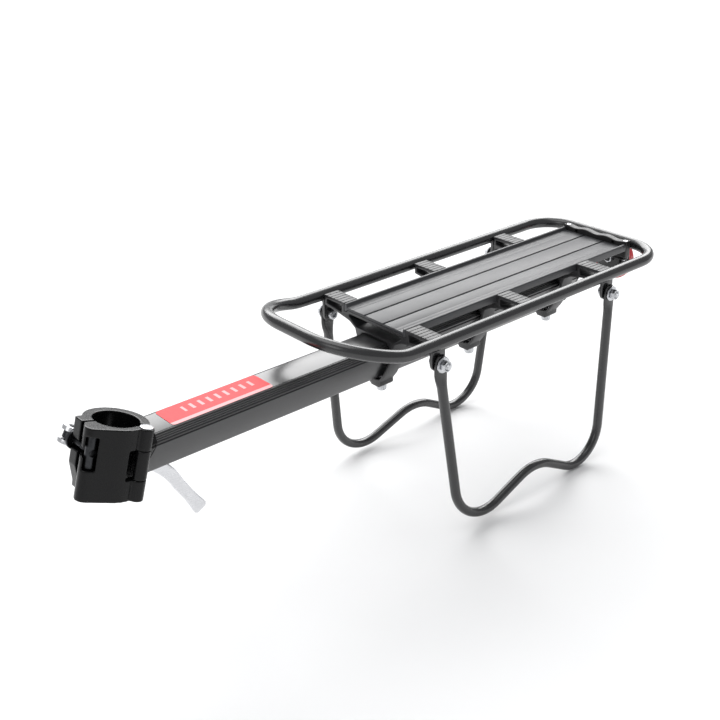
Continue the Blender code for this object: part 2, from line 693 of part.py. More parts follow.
def crossbar_holes():
    ceiling = RACK_TOP - PLATE
    strut = ceiling - 6.0 * MM + 2.0 * MM
    cell = [(DECK_HALF + 3.2 * MM, ceiling), (CELL_END, ceiling), (CELL_END, strut)]
    cell += [(46 * MM, strut - 1.7 * MM), (DECK_HALF + 4.1 * MM, strut - 2.6 * MM)]
    top = BEAM_TOP + BEAM_FIT
    lid = top + RING_WALL
    web = WEB_TOP - 2.5 * MM
    shoulder = BEAM_HALF + BEAM_FIT
    middle = [(0, web), (DECK_HALF - 5.6 * MM, web), (DECK_HALF - 5.2 * MM, web - 2.2 * MM)]
    middle += [(shoulder + 3.6 * MM, lid), (0, lid)]
    inner = [(0, top), (BEAM_FLAT + BEAM_FIT, top), (shoulder, SHOULDER + BEAM_FIT),
             (shoulder, SHOULDER - 3.4 * MM)]
    inner += ring_side(0.0)
    inner += [(5.4 * MM, BEAM_BOTTOM - 1.2 * MM), (0, BEAM_BOTTOM - 2.6 * MM)]
    other_cell = [(-y, z) for y, z in reversed(cell)]
    return [cell, other_cell, mirrored(middle), mirrored(inner)]


def tube_screw_line(side):
    """Direction and head place of the screw that runs from the plate's cell to the tube."""
    direction = Vector((0, side * math.cos(TUBE_SCREW_DIP), math.sin(TUBE_SCREW_DIP)))
    centre = Vector((0, side * TUBE_Y, TUBE_Z))
    head = centre - direction * (TUBE_Y - CELL_END + GAP) / math.cos(TUBE_SCREW_DIP)
    return head, direction


def crossbars(carriage):
    """Three slices of one extrusion with their clamp screws, tube screws and deck rivets."""
    start = -CROSSBAR_WIDTH / 2
    for place_name, x in zip(PLACES, CROSSBARS):
        place = Matrix.Translation((x, 0, 0))
        solid = section(mirrored(crossbar_half()), start, CROSSBAR_WIDTH, crossbar_holes())
        tools = [rod((0, 0, RING_FOOT - 5 * MM), (0, 0, BEAM_BOTTOM), CLAMP_SCREW + GAP)]
        for side_name, side in SIDES:
            head, direction = tube_screw_line(side)
            y = side * RIVET_SPREAD
            tools.append(rod(head - direction * 2 * MM, head - direction * GAP / 4, 2.2 * MM, 12))
            tools.append(rod(head - direction * MM, head + direction * 8 * MM, TUBE_SCREW + GAP, 12))
            tools.append(rod((0, y, WEB_TOP - 4 * MM), (0, y, WEB_TOP + 4 * MM), RIVET + GAP, 12))
            where = f"{place_name}_{side_name}"
            piece_from(moved(tube_screw(head, direction), place), f"tube_screw_{where}", "zinc", carriage)
            piece_from(moved(rivet(y), place), f"deck_rivet_{where}", "zinc", carriage)
        solid = moved(cut(solid, *tools), place)
        piece_from(solid, f"crossbar_{place_name}", "anodised", carriage)
        reach = BEAM_BOTTOM - RING_FOOT
        clamp = cap_screw((x, 0, RING_FOOT - GAP), (0, 0, 1), CLAMP_SCREW, reach,
                          SCREW_HEAD, SCREW_HEAD_HEIGHT, SOCKET)
        piece_from(clamp, f"clamp_screw_{place_name}", "zinc", carriage)


def tube_screw(head, direction):
    profile = [(0, 1.5 * MM), (1.2 * MM, 1.3 * MM), (1.8 * MM, 0.5 * MM), (1.8 * MM, 0), (TUBE_SCREW, 0),
               (TUBE_SCREW, -9 * MM), (0, -10.5 * MM)]
    return turned(profile, head - direction * GAP, -direction, 12)


def rivet(y):
    top = WEB_TOP + GAP + 1.0 * MM
    under = WEB_TOP - 2.5 * MM - GAP
    return turned([(0, top), (RIVET, top), (RIVET, under), (3.0 * MM, under), (2.4 * MM, under - 1.3 * MM),
                   (0, under - 1.6 * MM)], (0, y, 0), (0, 0, 1), 12)


def deck(carriage):
    """Panel with two grooves, raised ribs along its sides and a lip under each rib."""
    start = CROSSBARS[0] - CROSSBAR_WIDTH / 2
    inside = DECK_HALF - RIB
    half = [(0, DECK_TOP), (DECK_GROOVE - 0.9 * MM, DECK_TOP), (DECK_GROOVE - 0.5 * MM, DECK_TOP - 0.8 * MM),
            (DECK_GROOVE + 0.5 * MM, DECK_TOP - 0.8 * MM), (DECK_GROOVE + 0.9 * MM, DECK_TOP),
            (inside, DECK_TOP), (inside + 0.5 * MM, RACK_TOP - 0.4 * MM), (inside + 0.9 * MM, RACK_TOP),
            (DECK_HALF - 0.5 * MM, RACK_TOP), (DECK_HALF, RACK_TOP - 0.5 * MM), (DECK_HALF, RIB_BOTTOM),
            (inside, RIB_BOTTOM), (inside, DECK_TOP - DECK_SKIN), (0, DECK_TOP - DECK_SKIN)]
    solid = section(mirrored(half), start, DECK_LENGTH)
    holes = []
    for x in CROSSBARS:
        for side in (-1, 1):
            y = side * RIVET_SPREAD
            skin = DECK_TOP - DECK_SKIN
            holes.append(rod((x, y, skin - MM), (x, y, skin + 1.3 * MM), RIVET + GAP, 12))
    piece_from(cut(solid, *holes), "deck_panel", "deck", carriage)


def loop_lift(x):
    """Height gained by the tube as it kinks up towards the front, with a soft start."""
    past = LOOP_KINK - x
    soft = 6 * MM
    slope = LOOP_RISE / (LOOP_KINK - LOOP_FRONT)
    return slope * (past + math.hypot(past, soft)) / 2


def frame_loop(carriage):
    """One closed loop of tube with four welded tabs."""
    front, rear = LOOP_FRONT, LOOP_REAR
    middle = (front + rear) / 2
    corners = [(middle, TUBE_Y, 0), (rear, TUBE_Y, 0), (rear, -TUBE_Y, 0), (front, -TUBE_Y, 0),
               (front, TUBE_Y, 0), (middle, TUBE_Y, 0)]
    plan = rounded_path(corners, [REAR_BEND, REAR_BEND, FRONT_BEND, FRONT_BEND])[:-1]
    kink = []
    for y in (-TUBE_Y, TUBE_Y):
        steps = (3, 2, 1, 0) if y < 0 else (0, 1, 2, 3)
        kink.append([Vector((LOOP_KINK + k * 8 * MM, y, 0)) for k in steps])
    first = next(i for i, p in enumerate(plan) if p.y < 0 and p.x < LOOP_KINK)
    last = max(i for i, p in enumerate(plan) if p.y > 0 and p.x < LOOP_KINK)
    plan = plan[:first] + kink[0] + plan[first:last + 1] + kink[1] + plan[last + 1:]
    path = [Vector((place.x, place.y, TUBE_Z + loop_lift(place.x))) for place in plan]
    solid = sweep(path, Vector((0, 0, 1)), [(TUBE, TUBE)] * len(path), sides=12, closed=True)
    tabs = []
    holes = []
    for x in (CROSSBARS[0], CROSSBARS[-1]):
        for side in (-1, 1):
            tabs.append(guard_tab(x, side))
    for x in CROSSBARS:
        for side in (-1, 1):
            head, direction = tube_screw_line(side)
            place = Vector((x, 0, 0)) + head
            holes.append(rod(place, place + direction * 11.5 * MM, TUBE_SCREW + GAP, 12))
    solid = cut(join(solid, *tabs), *holes)
    piece_from(solid, "frame_loop", "anodised", carriage)


GUARD_BOLT_Z = RACK_TOP - GUARD_BOLT_DROP
TAB_OUTSIDE = TAB_INSIDE + TAB


def guard_tab(x, side):
    """Flat tab with a round foot, hanging from the tube."""
    foot = arc((0, GUARD_BOLT_Z), TAB_HALF, -180, 0, 12)
    root = TUBE_Z - 0.2 * TUBE
    outline = foot + [(TAB_HALF, root), (-TAB_HALF, root)]
    hole = arc((0, GUARD_BOLT_Z), GUARD_BOLT + GAP, 10, 350, 17)
    solid = moved(extruded(outline, TAB, [hole]), Matrix.Rotation(HALF_PI, 4, "X"))
    low = TAB_OUTSIDE if side > 0 else -TAB_INSIDE
    return moved(solid, Matrix.Translation((x, low, 0)))


def end_piece(carriage):
    """Moulded piece that closes the deck's rear end and cradles the rear tube from below."""
    front = CROSSBARS[0] - CROSSBAR_WIDTH / 2 + DECK_LENGTH + GAP
    back = LOOP_REAR - TUBE - GAP
    rim = RACK_TOP + 1.6 * MM
    waves = 24
    top = []
    for i in range(waves + 1):
        share = i / waves
        top.append((DECK_HALF - 2 * DECK_HALF * share, rim + 0.7 * MM * math.cos(6 * math.pi * share)))
    foot = RACK_TOP - 14 * MM
    wall = section(top + [(-DECK_HALF, foot), (DECK_HALF, foot)], front, back - front)
    shelf = block((front, -0.8 * DECK_HALF, foot), (LOOP_REAR, 0.8 * DECK_HALF, TUBE_Z - TUBE - GAP))
    solid = join(wall, shelf)
    middle = (front + back) / 2
    holes = []
    for side_name, side in SIDES:
        y = side * (DECK_HALF - END_SCREW_INSET)
        holes.append(rod((middle, y, rim - 2.2 * MM), (middle, y, rim + 9 * MM), 2.7 * MM))
        holes.append(rod((middle, y, foot - MM), (middle, y, rim), 1.5 * MM + GAP, 14))
        base = (middle, y, rim - 2.2 * MM + GAP)
        screw = cap_screw(base, (0, 0, -1), 1.5 * MM, rim - foot + 1.5 * MM, 2.4 * MM, 2.4 * MM, 2 * MM)
        piece_from(screw, f"end_piece_screw_{side_name}", "zinc", carriage)
    for side in (-1, 1):
        holes.append(rod((front - MM, side * DECK_GROOVE * 1.9, rim - 3 * MM),
                         (front + 3 * MM, side * DECK_GROOVE * 1.9, rim - 3 * MM), 1.6 * MM, 16))
    piece_from(cut(solid, *holes), "deck_end_piece", "plastic", carriage)
    return front, foot, middle


# ---------------------------------------------------------------- side guards

def guard(name, side, carriage):
    """Bent tube: a deep front bend, a hump and a shallower rear bend, with flattened ends."""
    first, last = CROSSBARS[0], CROSSBARS[-1]
    top = GUARD_BOLT_Z
    low = top - GUARD_DEPTH
    span = last - first
    corners = [(first, 0, top + TAB_HALF), (first, 0, top - 12 * MM), (first + 0.087 * span, 0, low + 8 * MM),
               (first + 0.535 * span, 0, low + 43 * MM), (last - 0.067 * span, 0, low),
               (last, 0, top - 12 * MM), (last, 0, top + TAB_HALF)]
    path = rounded_path(corners, [60 * MM, 36 * MM, 45 * MM, 32 * MM, 60 * MM], math.radians(11))
    dense = []
    for a, b in zip(path, path[1:]):
        pieces = max(1, round((b - a).length / (9 * MM)) if a.z > top - 40 * MM else 1)
        dense += [a.lerp(b, k / pieces) for k in range(pieces)]
    dense.append(path[-1])
    set_off = TAB_OUTSIDE + GAP + GUARD_FLAT
    sizes = []
    for point in dense:
        below = top - TAB_HALF - 1 * MM - point.z
        share = min(1.0, max(0.0, below / (12 * MM)))
        share = share * share * (3 - 2 * share)
        sizes.append((GUARD_FLAT + (GUARD - GUARD_FLAT) * share, 6.6 * MM + (GUARD - 6.6 * MM) * share))
        point.y = side * (set_off + max(0.0, below) * math.tan(GUARD_SPLAY))
    solid = sweep(dense, Vector((0, 1, 0)), sizes, sides=12)
    for x in (first, last):
        hole = rod((x, 0, top), (x, side * 2 * TUBE_Y, top), GUARD_BOLT + GAP)
        solid = cut(solid, hole)
    piece_from(solid, name, "anodised", carriage)


def guard_fasteners(carriage):
    """Bolt, washer and nut at each of the four tabs."""
    inner = TAB_OUTSIDE + GAP + 2 * GUARD_FLAT + GAP
    nut_seat = inner + 1.3 * MM + GAP
    hole = GUARD_BOLT + GAP
    for place_name, x in ((PLACES[0], CROSSBARS[0]), (PLACES[-1], CROSSBARS[-1])):
        for side_name, side in SIDES:
            where = f"{place_name}_{side_name}"
            out = Vector((0, side, 0))
            base = Vector((x, 0, GUARD_BOLT_Z))
            head = base + out * (TAB_INSIDE - GAP)
            length = nut_seat + 5.4 * MM - TAB_INSIDE + GAP
            bolt = cap_screw(head, out, GUARD_BOLT, length, SCREW_HEAD, GUARD_HEAD_HEIGHT, SOCKET)
            piece_from(bolt, f"guard_bolt_{where}", "zinc", carriage)
            plate = base + out * inner
            washer = cut(rod(plate, plate + out * 1.3 * MM, WASHER, 28),
                         rod(plate - out * MM, plate + out * 3 * MM, hole))
            piece_from(washer, f"guard_washer_{where}", "zinc", carriage)
            seat = base + out * nut_seat
            nut = cut(hexagon(seat, out, NUT, NUT_HEIGHT), rod(seat - out * MM, seat + out * 6 * MM, hole))
            piece_from(nut, f"guard_nut_{where}", "zinc", carriage)


# ---------------------------------------------------------------- rear reflector

def reflector(carriage, front, foot, screw_x):
    """Bent strip under the end piece, with the reflector on its upright leg."""
    back = LOOP_REAR + TUBE + REFLECTOR_SET_BACK
    top = foot - GAP
    wide = DECK_HALF - 1.0 * MM
    flat = block((front, -wide, top - STRIP), (screw_x + 4 * MM, wide, top))
    tongue = block((front, -11 * MM, top - STRIP), (back, 11 * MM, top))
    leg = block((back - STRIP, -11 * MM, REFLECTOR_HEIGHT - 9 * MM), (back, 11 * MM, top))
    stud = 2.5 * MM
    holes = [rod((back - 9 * MM, 0, REFLECTOR_HEIGHT), (back + MM, 0, REFLECTOR_HEIGHT), stud + GAP)]
    for side in (-1, 1):
        y = side * (DECK_HALF - END_SCREW_INSET)
        holes.append(rod((screw_x, y, top - 5 * MM), (screw_x, y, top + MM), 1.5 * MM + GAP, 14))
    piece_from(cut(join(flat, tongue, leg), *holes), "reflector_bracket", "anodised", carriage)
    seat = back + GAP
    rim = REFLECTOR - 2.2 * MM
    profile = [(0, DISH), (rim, DISH), (rim, MM), (rim - 2 * MM, 0), (stud, 0), (stud, -8 * MM), (0, -8 * MM)]
    base = (seat, 0, REFLECTOR_HEIGHT)
    piece_from(turned(profile, base, (1, 0, 0), 40), "reflector_housing", "plastic", carriage)
    # the lens wraps round the housing's rim, so its red edge shows from the front too
    face, inside = DISH + GAP, rim + GAP
    shoulder = REFLECTOR - 1.5 * MM
    profile = [(0, face + 4 * MM), (0.6 * REFLECTOR, face + 3.7 * MM), (shoulder, face + 2.4 * MM),
               (REFLECTOR, face + MM), (REFLECTOR, MM), (inside, MM), (inside, face), (0, face)]
    piece_from(turned(profile, base, (1, 0, 0), 40), "reflector_lens", "red", carriage)
    nut = Vector((back - STRIP - GAP, 0, REFLECTOR_HEIGHT))
    solid = cut(hexagon(nut, (-1, 0, 0), NUT, NUT_HEIGHT),
                rod(nut + Vector((MM, 0, 0)), nut - Vector((6 * MM, 0, 0)), stud + GAP))
    piece_from(solid, "reflector_nut", "zinc", carriage)


# ---------------------------------------------------------------- assembly

def empty(name, parent=None, place=(0, 0, 0), turn=0.0):
    obj = bpy.data.objects.new(name, None)
    obj.empty_display_size = 0.02
    obj.location = place
    obj.rotation_euler = (0, turn, 0)
    obj.parent = parent
    rack.objects.link(obj)
    return obj


def build():
    collar = empty("collar_frame", turn=SEAT_TILT)
    jaw_pivot = empty("jaw_pivot", collar, (*HINGE, 0))
    place = (-BOLT_FORWARD - HINGE[0], -TRUNNION_SET - HINGE[1], BOLT_HEIGHT)
    bolt_pivot = empty("bolt_pivot", jaw_pivot, place)
    lever_pivot = empty("lever_pivot", bolt_pivot, (0, CAM_SET + TRUNNION_SET, 0), PIN_LEAN)
    carriage = empty("carriage")
    clamp_body(collar)
    clamp_jaw(jaw_pivot)
    clamp_hardware(collar, bolt_pivot, lever_pivot)
    beam()
    crossbars(carriage)
    deck(carriage)
    frame_loop(carriage)
    front, foot, screw_x = end_piece(carriage)
    for name, side in (("guard_left", 1), ("guard_right", -1)):
        guard(name, side, carriage)
    guard_fasteners(carriage)
    reflector(carriage, front, foot, screw_x)


clear_scene()
rack = new_collection("rear_rack")
build()
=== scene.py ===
# %% [markdown]
# # A rear rack that clamps to a seatpost
# The rack is a hollow aluminium beam with a quick-release collar at its front end. Three sliced
# extrusions ride on the beam and carry a grooved deck, a loop of tube and two bent side guards.
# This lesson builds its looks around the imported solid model, one piece at a time. Every size
# below is in millimetres, and one function turns finished pieces into metres.

# %% Load the solid model
import math

import bmesh
import bpy
from mathutils import Matrix, Vector
from mathutils.geometry import tessellate_polygon


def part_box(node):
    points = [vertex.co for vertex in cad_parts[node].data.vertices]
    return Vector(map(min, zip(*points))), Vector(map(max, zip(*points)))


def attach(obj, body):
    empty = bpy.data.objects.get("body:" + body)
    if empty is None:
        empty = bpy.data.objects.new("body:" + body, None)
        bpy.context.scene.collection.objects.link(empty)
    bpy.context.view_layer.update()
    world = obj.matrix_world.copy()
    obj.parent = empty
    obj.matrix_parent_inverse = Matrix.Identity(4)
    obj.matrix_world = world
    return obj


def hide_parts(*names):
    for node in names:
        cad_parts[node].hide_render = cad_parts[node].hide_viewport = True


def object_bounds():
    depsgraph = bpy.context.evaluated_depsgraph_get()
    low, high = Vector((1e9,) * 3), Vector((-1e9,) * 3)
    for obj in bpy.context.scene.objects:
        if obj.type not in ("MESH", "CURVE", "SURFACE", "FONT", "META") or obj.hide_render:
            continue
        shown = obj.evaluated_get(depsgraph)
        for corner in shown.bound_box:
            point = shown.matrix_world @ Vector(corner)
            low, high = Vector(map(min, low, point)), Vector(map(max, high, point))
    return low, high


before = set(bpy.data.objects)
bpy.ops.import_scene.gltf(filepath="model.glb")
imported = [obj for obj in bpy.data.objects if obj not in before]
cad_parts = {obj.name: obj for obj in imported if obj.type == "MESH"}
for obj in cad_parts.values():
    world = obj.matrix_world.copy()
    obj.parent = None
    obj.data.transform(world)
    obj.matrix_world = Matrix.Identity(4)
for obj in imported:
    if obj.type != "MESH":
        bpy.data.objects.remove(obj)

CAD_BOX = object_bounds()
METRES = 0.001


def low(node):
    """The lowest corner of a solid, in millimetres."""
    return [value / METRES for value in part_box(node)[0]]


def high(node):
    return [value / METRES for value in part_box(node)[1]]


def middle(node):
    return [(a + b) / 2 for a, b in zip(low(node), high(node))]


# %% [markdown]
# ## The camera and the studio
# A product like this is shot from its front corner, a little above, with a long lens. The camera
# looks down by 26 degrees from the side of the collar and is rolled by about a degree. The
# focal length is for a 36 mm wide sensor, and the camera's place is in metres.

# %% Camera
CAMERA_PLACE = Vector((-0.27717, -0.58845, 0.37342))
CAMERA_AZIMUTH = math.radians(49.66)
CAMERA_ELEVATION = math.radians(25.99)
CAMERA_ROLL = math.radians(-1.19)
FOCAL_LENGTH = 53.943

ahead = Vector((math.cos(CAMERA_AZIMUTH) * math.cos(CAMERA_ELEVATION),
                math.sin(CAMERA_AZIMUTH) * math.cos(CAMERA_ELEVATION), -math.sin(CAMERA_ELEVATION)))
level_right = ahead.cross(Vector((0, 0, 1))).normalized()
level_up = level_right.cross(ahead)
right = math.cos(CAMERA_ROLL) * level_right + math.sin(CAMERA_ROLL) * level_up
up = math.cos(CAMERA_ROLL) * level_up - math.sin(CAMERA_ROLL) * level_right
camera_data = bpy.data.cameras.new("camera")
camera_data.lens = FOCAL_LENGTH
camera_data.sensor_width = 36.0
camera_data.clip_start = 0.01
camera = bpy.data.objects.new("camera", camera_data)
turn = Matrix((right, up, -ahead)).transposed().to_4x4()
camera.matrix_world = Matrix.Translation(CAMERA_PLACE) @ turn
bpy.context.scene.collection.objects.link(camera)
bpy.context.scene.camera = camera
print("camera looks along", [round(value, 3) for value in ahead])

# %% [markdown]
# Colours are written as the hex values that a paint chart would give. Blender mixes light in
# linear values, so one function turns hex to linear. A second function adds a node with its
# settings and its links, and the materials and the world are all made with it.

# %% Two helpers for colours and nodes
def linear(hex_colour):
    """An sRGB hex colour as a linear RGBA value."""
    channels = [int(hex_colour[i:i + 2], 16) / 255 for i in (1, 3, 5)]
    return [c / 12.92 if c <= 0.04045 else ((c + 0.055) / 1.055) ** 2.4 for c in channels] + [1.0]


def add(tree, kind, settings=None, values=None, links=None):
    """Add a node: settings are its own options, values fill sockets, links join sockets."""
    node = tree.nodes.new(kind)
    for option, value in (settings or {}).items():
        setattr(node, option, value)
    for socket, value in (values or {}).items():
        node.inputs[socket].default_value = value
    for socket, source in (links or {}).items():
        tree.links.new(source, node.inputs[socket])
    return node


print("white in linear light:", linear("#ffffff")[:3])

# %% [markdown]
# The studio is a white floor, a pale surround and three soft lights. Black anodising shows its
# shape only by what it mirrors. So the largest light stands low behind the rack, where every
# level surface mirrors it towards the viewer, and the uprights mirror the darker surround.

# %% Floor, surround and soft lights
FLOOR_SIZE = 30.0
FLOOR_GAP = 0.0005
SURROUND_STRENGTH = 0.5
scene = bpy.context.scene
scene.view_settings.view_transform = "Standard"
world = bpy.data.worlds.new("studio")
world.use_nodes = True
scene.world = world
world.node_tree.nodes.clear()
surround = add(world.node_tree, "ShaderNodeBackground",
               values={"Color": linear("#f4f5f7"), "Strength": SURROUND_STRENGTH})
add(world.node_tree, "ShaderNodeOutputWorld", links={"Surface": surround.outputs["Background"]})

floor_mesh = bpy.data.meshes.new("floor")
half = FLOOR_SIZE / 2
floor_corners = [(-half, -half, 0), (half, -half, 0), (half, half, 0), (-half, half, 0)]
floor_mesh.from_pydata(floor_corners, [], [(0, 1, 2, 3)])
floor = bpy.data.objects.new("floor", floor_mesh)
floor.location.z = CAD_BOX[0][2] - FLOOR_GAP
scene.collection.objects.link(floor)
paper = bpy.data.materials.new("studio_paper")
paper.use_nodes = True
paper_shader = paper.node_tree.nodes["Principled BSDF"]
paper_shader.inputs["Base Color"].default_value = linear("#f8f8f8")
paper_shader.inputs["Roughness"].default_value = 0.9
floor_mesh.materials.append(paper)


def soft_light(name, azimuth, elevation, distance, width, height, radiance):
    """A rectangular light aimed at the rack, with angles in degrees and sizes in metres; its
    power follows from how bright it should look."""
    aim = Vector(((CAD_BOX[0][0] + CAD_BOX[1][0]) / 2, 0, 0))
    azimuth, elevation = math.radians(azimuth), math.radians(elevation)
    away = Vector((math.cos(azimuth) * math.cos(elevation), math.sin(azimuth) * math.cos(elevation),
                   math.sin(elevation)))
    data = bpy.data.lights.new(name, "AREA")
    data.shape = "RECTANGLE"
    data.size = width
    data.size_y = height
    data.energy = radiance * math.pi * width * height
    light = bpy.data.objects.new(name, data)
    light.location = aim + away * distance
    light.rotation_euler = away.to_track_quat("Z", "Y").to_euler()
    scene.collection.objects.link(light)
    print(name, "gives", round(data.energy, 1), "W")


soft_light("back_softbox", azimuth=50, elevation=33, distance=5.0, width=6.25, height=3.1,
           radiance=5.6)
soft_light("top_softbox", azimuth=120, elevation=78, distance=2.2, width=1.6, height=1.6,
           radiance=2.0)
soft_light("side_softbox", azimuth=190, elevation=30, distance=2.4, width=1.0, height=1.2,
           radiance=1.6)

# %% [markdown]
# ## Finishes
# The loop and the guards are aluminium tube that was bead blasted and then anodised black. The
# dye leaves almost no colour and the oxide gives a soft sheen, so the shader is a near-black
# dielectric with a fairly low roughness. A blasted grain is about a tenth of a millimetre, too
# fine to show here, so it is drawn at just under half a millimetre.

# %% Black anodised aluminium
def new_material(name, colour, roughness, metallic=0.0, ior=None):
    """A material with its plain values set on the shader; returns its node tree and shader."""
    material = bpy.data.materials.new(name)
    material.use_nodes = True
    shader = material.node_tree.nodes["Principled BSDF"]
    shader.inputs["Base Color"].default_value = linear(colour)
    shader.inputs["Roughness"].default_value = roughness
    shader.inputs["Metallic"].default_value = metallic
    if ior:
        shader.inputs["IOR"].default_value = ior
    return material, material.node_tree, shader


def grain_per_mm(size):
    """Noise scale whose grains are about size millimetres across."""
    return 1.0 / (size * METRES)


def join_shader(tree, shader, colour=None, roughness=None, normal=None):
    """Let the outputs of nodes drive the shader's colour, roughness and normal."""
    driven = {"Base Color": colour, "Roughness": roughness, "Normal": normal}
    for socket, output in driven.items():
        if output is not None:
            tree.links.new(output, shader.inputs[socket])


BLAST_GRAIN = 0.45
ANODISED_BLACK = "#131314"
ANODISED_WORN = "#3a3a3c"
anodised, tree, shader = new_material("anodised_aluminium_black", ANODISED_BLACK, 0.26, ior=1.7)
place = add(tree, "ShaderNodeTexCoord").outputs["Object"]
clouds = add(tree, "ShaderNodeTexNoise", values={"Scale": grain_per_mm(35), "Detail": 3.0},
             links={"Vector": place})
blast = add(tree, "ShaderNodeTexNoise",
            values={"Scale": grain_per_mm(BLAST_GRAIN), "Detail": 2.0}, links={"Vector": place})
edges = add(tree, "ShaderNodeMapRange", values={"From Min": 0.54, "From Max": 0.66},
            links={"Value": add(tree, "ShaderNodeNewGeometry").outputs["Pointiness"]})
worn = add(tree, "ShaderNodeMath", {"operation": "MULTIPLY"}, {1: 0.45},
           {0: edges.outputs["Result"]})
dye = add(tree, "ShaderNodeMix", {"data_type": "RGBA"},
          {6: linear(ANODISED_BLACK), 7: linear("#1b1b1d")},
          {0: clouds.outputs["Fac"]})
colour = add(tree, "ShaderNodeMix", {"data_type": "RGBA"}, {7: linear(ANODISED_WORN)},
             {0: worn.outputs["Value"], 6: dye.outputs[2]})
sheen = add(tree, "ShaderNodeMapRange", values={"To Min": 0.21, "To Max": 0.31},
            links={"Value": clouds.outputs["Fac"]})
bump = add(tree, "ShaderNodeBump", values={"Strength": 0.12, "Distance": 0.05 * METRES},
           links={"Height": blast.outputs["Fac"]})
join_shader(tree, shader, colour.outputs[2], sheen.outputs["Result"], bump.outputs["Normal"])
print("anodised grain scale:", round(grain_per_mm(BLAST_GRAIN)), "per metre")

# %% [markdown]
# The deck, the plates and the beam are the same alloy and dye, but their surface was drawn
# through a die. That leaves fine lines along the extrusion. The lines are noise stretched
# thirty times along X. A real die line is about a tenth of a millimetre wide, too fine to
# show here, so they are drawn at half a millimetre.

# %% Drawn anodised aluminium
def drawn_aluminium(name, black, pale, roughness, ior, line_width, line_depth):
    """Anodised extrusion with die lines along X."""
    material, tree, shader = new_material(name, black, roughness, ior=ior)
    place = add(tree, "ShaderNodeTexCoord").outputs["Object"]
    stretch = add(tree, "ShaderNodeMapping", values={"Scale": (1 / 30, 1, 1)},
                  links={"Vector": place})
    lines = add(tree, "ShaderNodeTexNoise",
                values={"Scale": grain_per_mm(line_width), "Detail": 2.0},
                links={"Vector": stretch.outputs["Vector"]})
    clouds = add(tree, "ShaderNodeTexNoise",
                 values={"Scale": grain_per_mm(28), "Detail": 4.0}, links={"Vector": place})
    edges = add(tree, "ShaderNodeMapRange",
                values={"From Min": 0.53, "From Max": 0.64, "To Max": 0.5},
                links={"Value": add(tree, "ShaderNodeNewGeometry").outputs["Pointiness"]})
    dye = add(tree, "ShaderNodeMix", {"data_type": "RGBA"}, {6: linear(black), 7: linear(pale)},
              {0: lines.outputs["Fac"]})
    colour = add(tree, "ShaderNodeMix", {"data_type": "RGBA"}, {7: linear(ANODISED_WORN)},
                 {0: edges.outputs["Result"], 6: dye.outputs[2]})
    sheen = add(tree, "ShaderNodeMapRange",
                values={"To Min": roughness - 0.05, "To Max": roughness + 0.05},
                links={"Value": clouds.outputs["Fac"]})
    bump = add(tree, "ShaderNodeBump", values={"Strength": 0.2, "Distance": line_depth * METRES},
               links={"Height": lines.outputs["Fac"]})
    join_shader(tree, shader, colour.outputs[2], sheen.outputs["Result"], bump.outputs["Normal"])
    return material


drawn = drawn_aluminium("drawn_anodised_aluminium", "#161617", "#1e1e20", 0.3, 1.77, 0.5, 0.02)
deck_finish = drawn_aluminium("drawn_anodised_deck", "#303134", "#333437", 0.47, 1.62, 0.5, 0.01)
sawn = drawn_aluminium("drawn_anodised_crossbars", "#1a1a1c", "#222224", 0.44, 1.6, 0.5, 0.02)
print("three drawn finishes made")

# %% [markdown]
# The collar is an aluminium die casting under black paint. A casting is softly uneven, and the
# paint is glossier than anodising. A slow noise of four and a half millimetres gives the
# unevenness, and paint rubbed thin shows grey on the corners.

# %% Painted cast aluminium
CAST_BLACK = "#070708"
cast, tree, shader = new_material("painted_cast_aluminium", CAST_BLACK, 0.27, ior=1.45)
shader.inputs["Specular IOR Level"].default_value = 0.3
place = add(tree, "ShaderNodeTexCoord").outputs["Object"]
waves = add(tree, "ShaderNodeTexNoise", values={"Scale": grain_per_mm(4.5), "Detail": 3.0},
            links={"Vector": place})
peel = add(tree, "ShaderNodeTexNoise", values={"Scale": grain_per_mm(0.9), "Detail": 2.0},
           links={"Vector": place})
edges = add(tree, "ShaderNodeMapRange", values={"From Min": 0.56, "From Max": 0.70, "To Max": 0.55},
            links={"Value": add(tree, "ShaderNodeNewGeometry").outputs["Pointiness"]})
rubbed = add(tree, "ShaderNodeMath", {"operation": "MULTIPLY"},
             links={0: edges.outputs["Result"], 1: waves.outputs["Fac"]})
colour = add(tree, "ShaderNodeMix", {"data_type": "RGBA"},
             {6: linear(CAST_BLACK), 7: linear("#57585a")},
             {0: rubbed.outputs["Value"]})
sheen = add(tree, "ShaderNodeMapRange", values={"To Min": 0.2, "To Max": 0.34},
            links={"Value": waves.outputs["Fac"]})
height = add(tree, "ShaderNodeMath", {"operation": "MULTIPLY_ADD"}, {1: 0.3},
             {0: peel.outputs["Fac"], 2: waves.outputs["Fac"]})
bump = add(tree, "ShaderNodeBump", values={"Strength": 0.25, "Distance": 0.18 * METRES},
           links={"Height": height.outputs["Value"]})
join_shader(tree, shader, colour.outputs[2], sheen.outputs["Result"], bump.outputs["Normal"])
print("cast paint:", cast.name)

# %% [markdown]
# Screws, nuts and washers are steel with a bright zinc plating. Zinc is a pale, slightly blue
# metal. Tumbling leaves it with small dull patches, so the roughness follows a noise of a
# little over a millimetre.

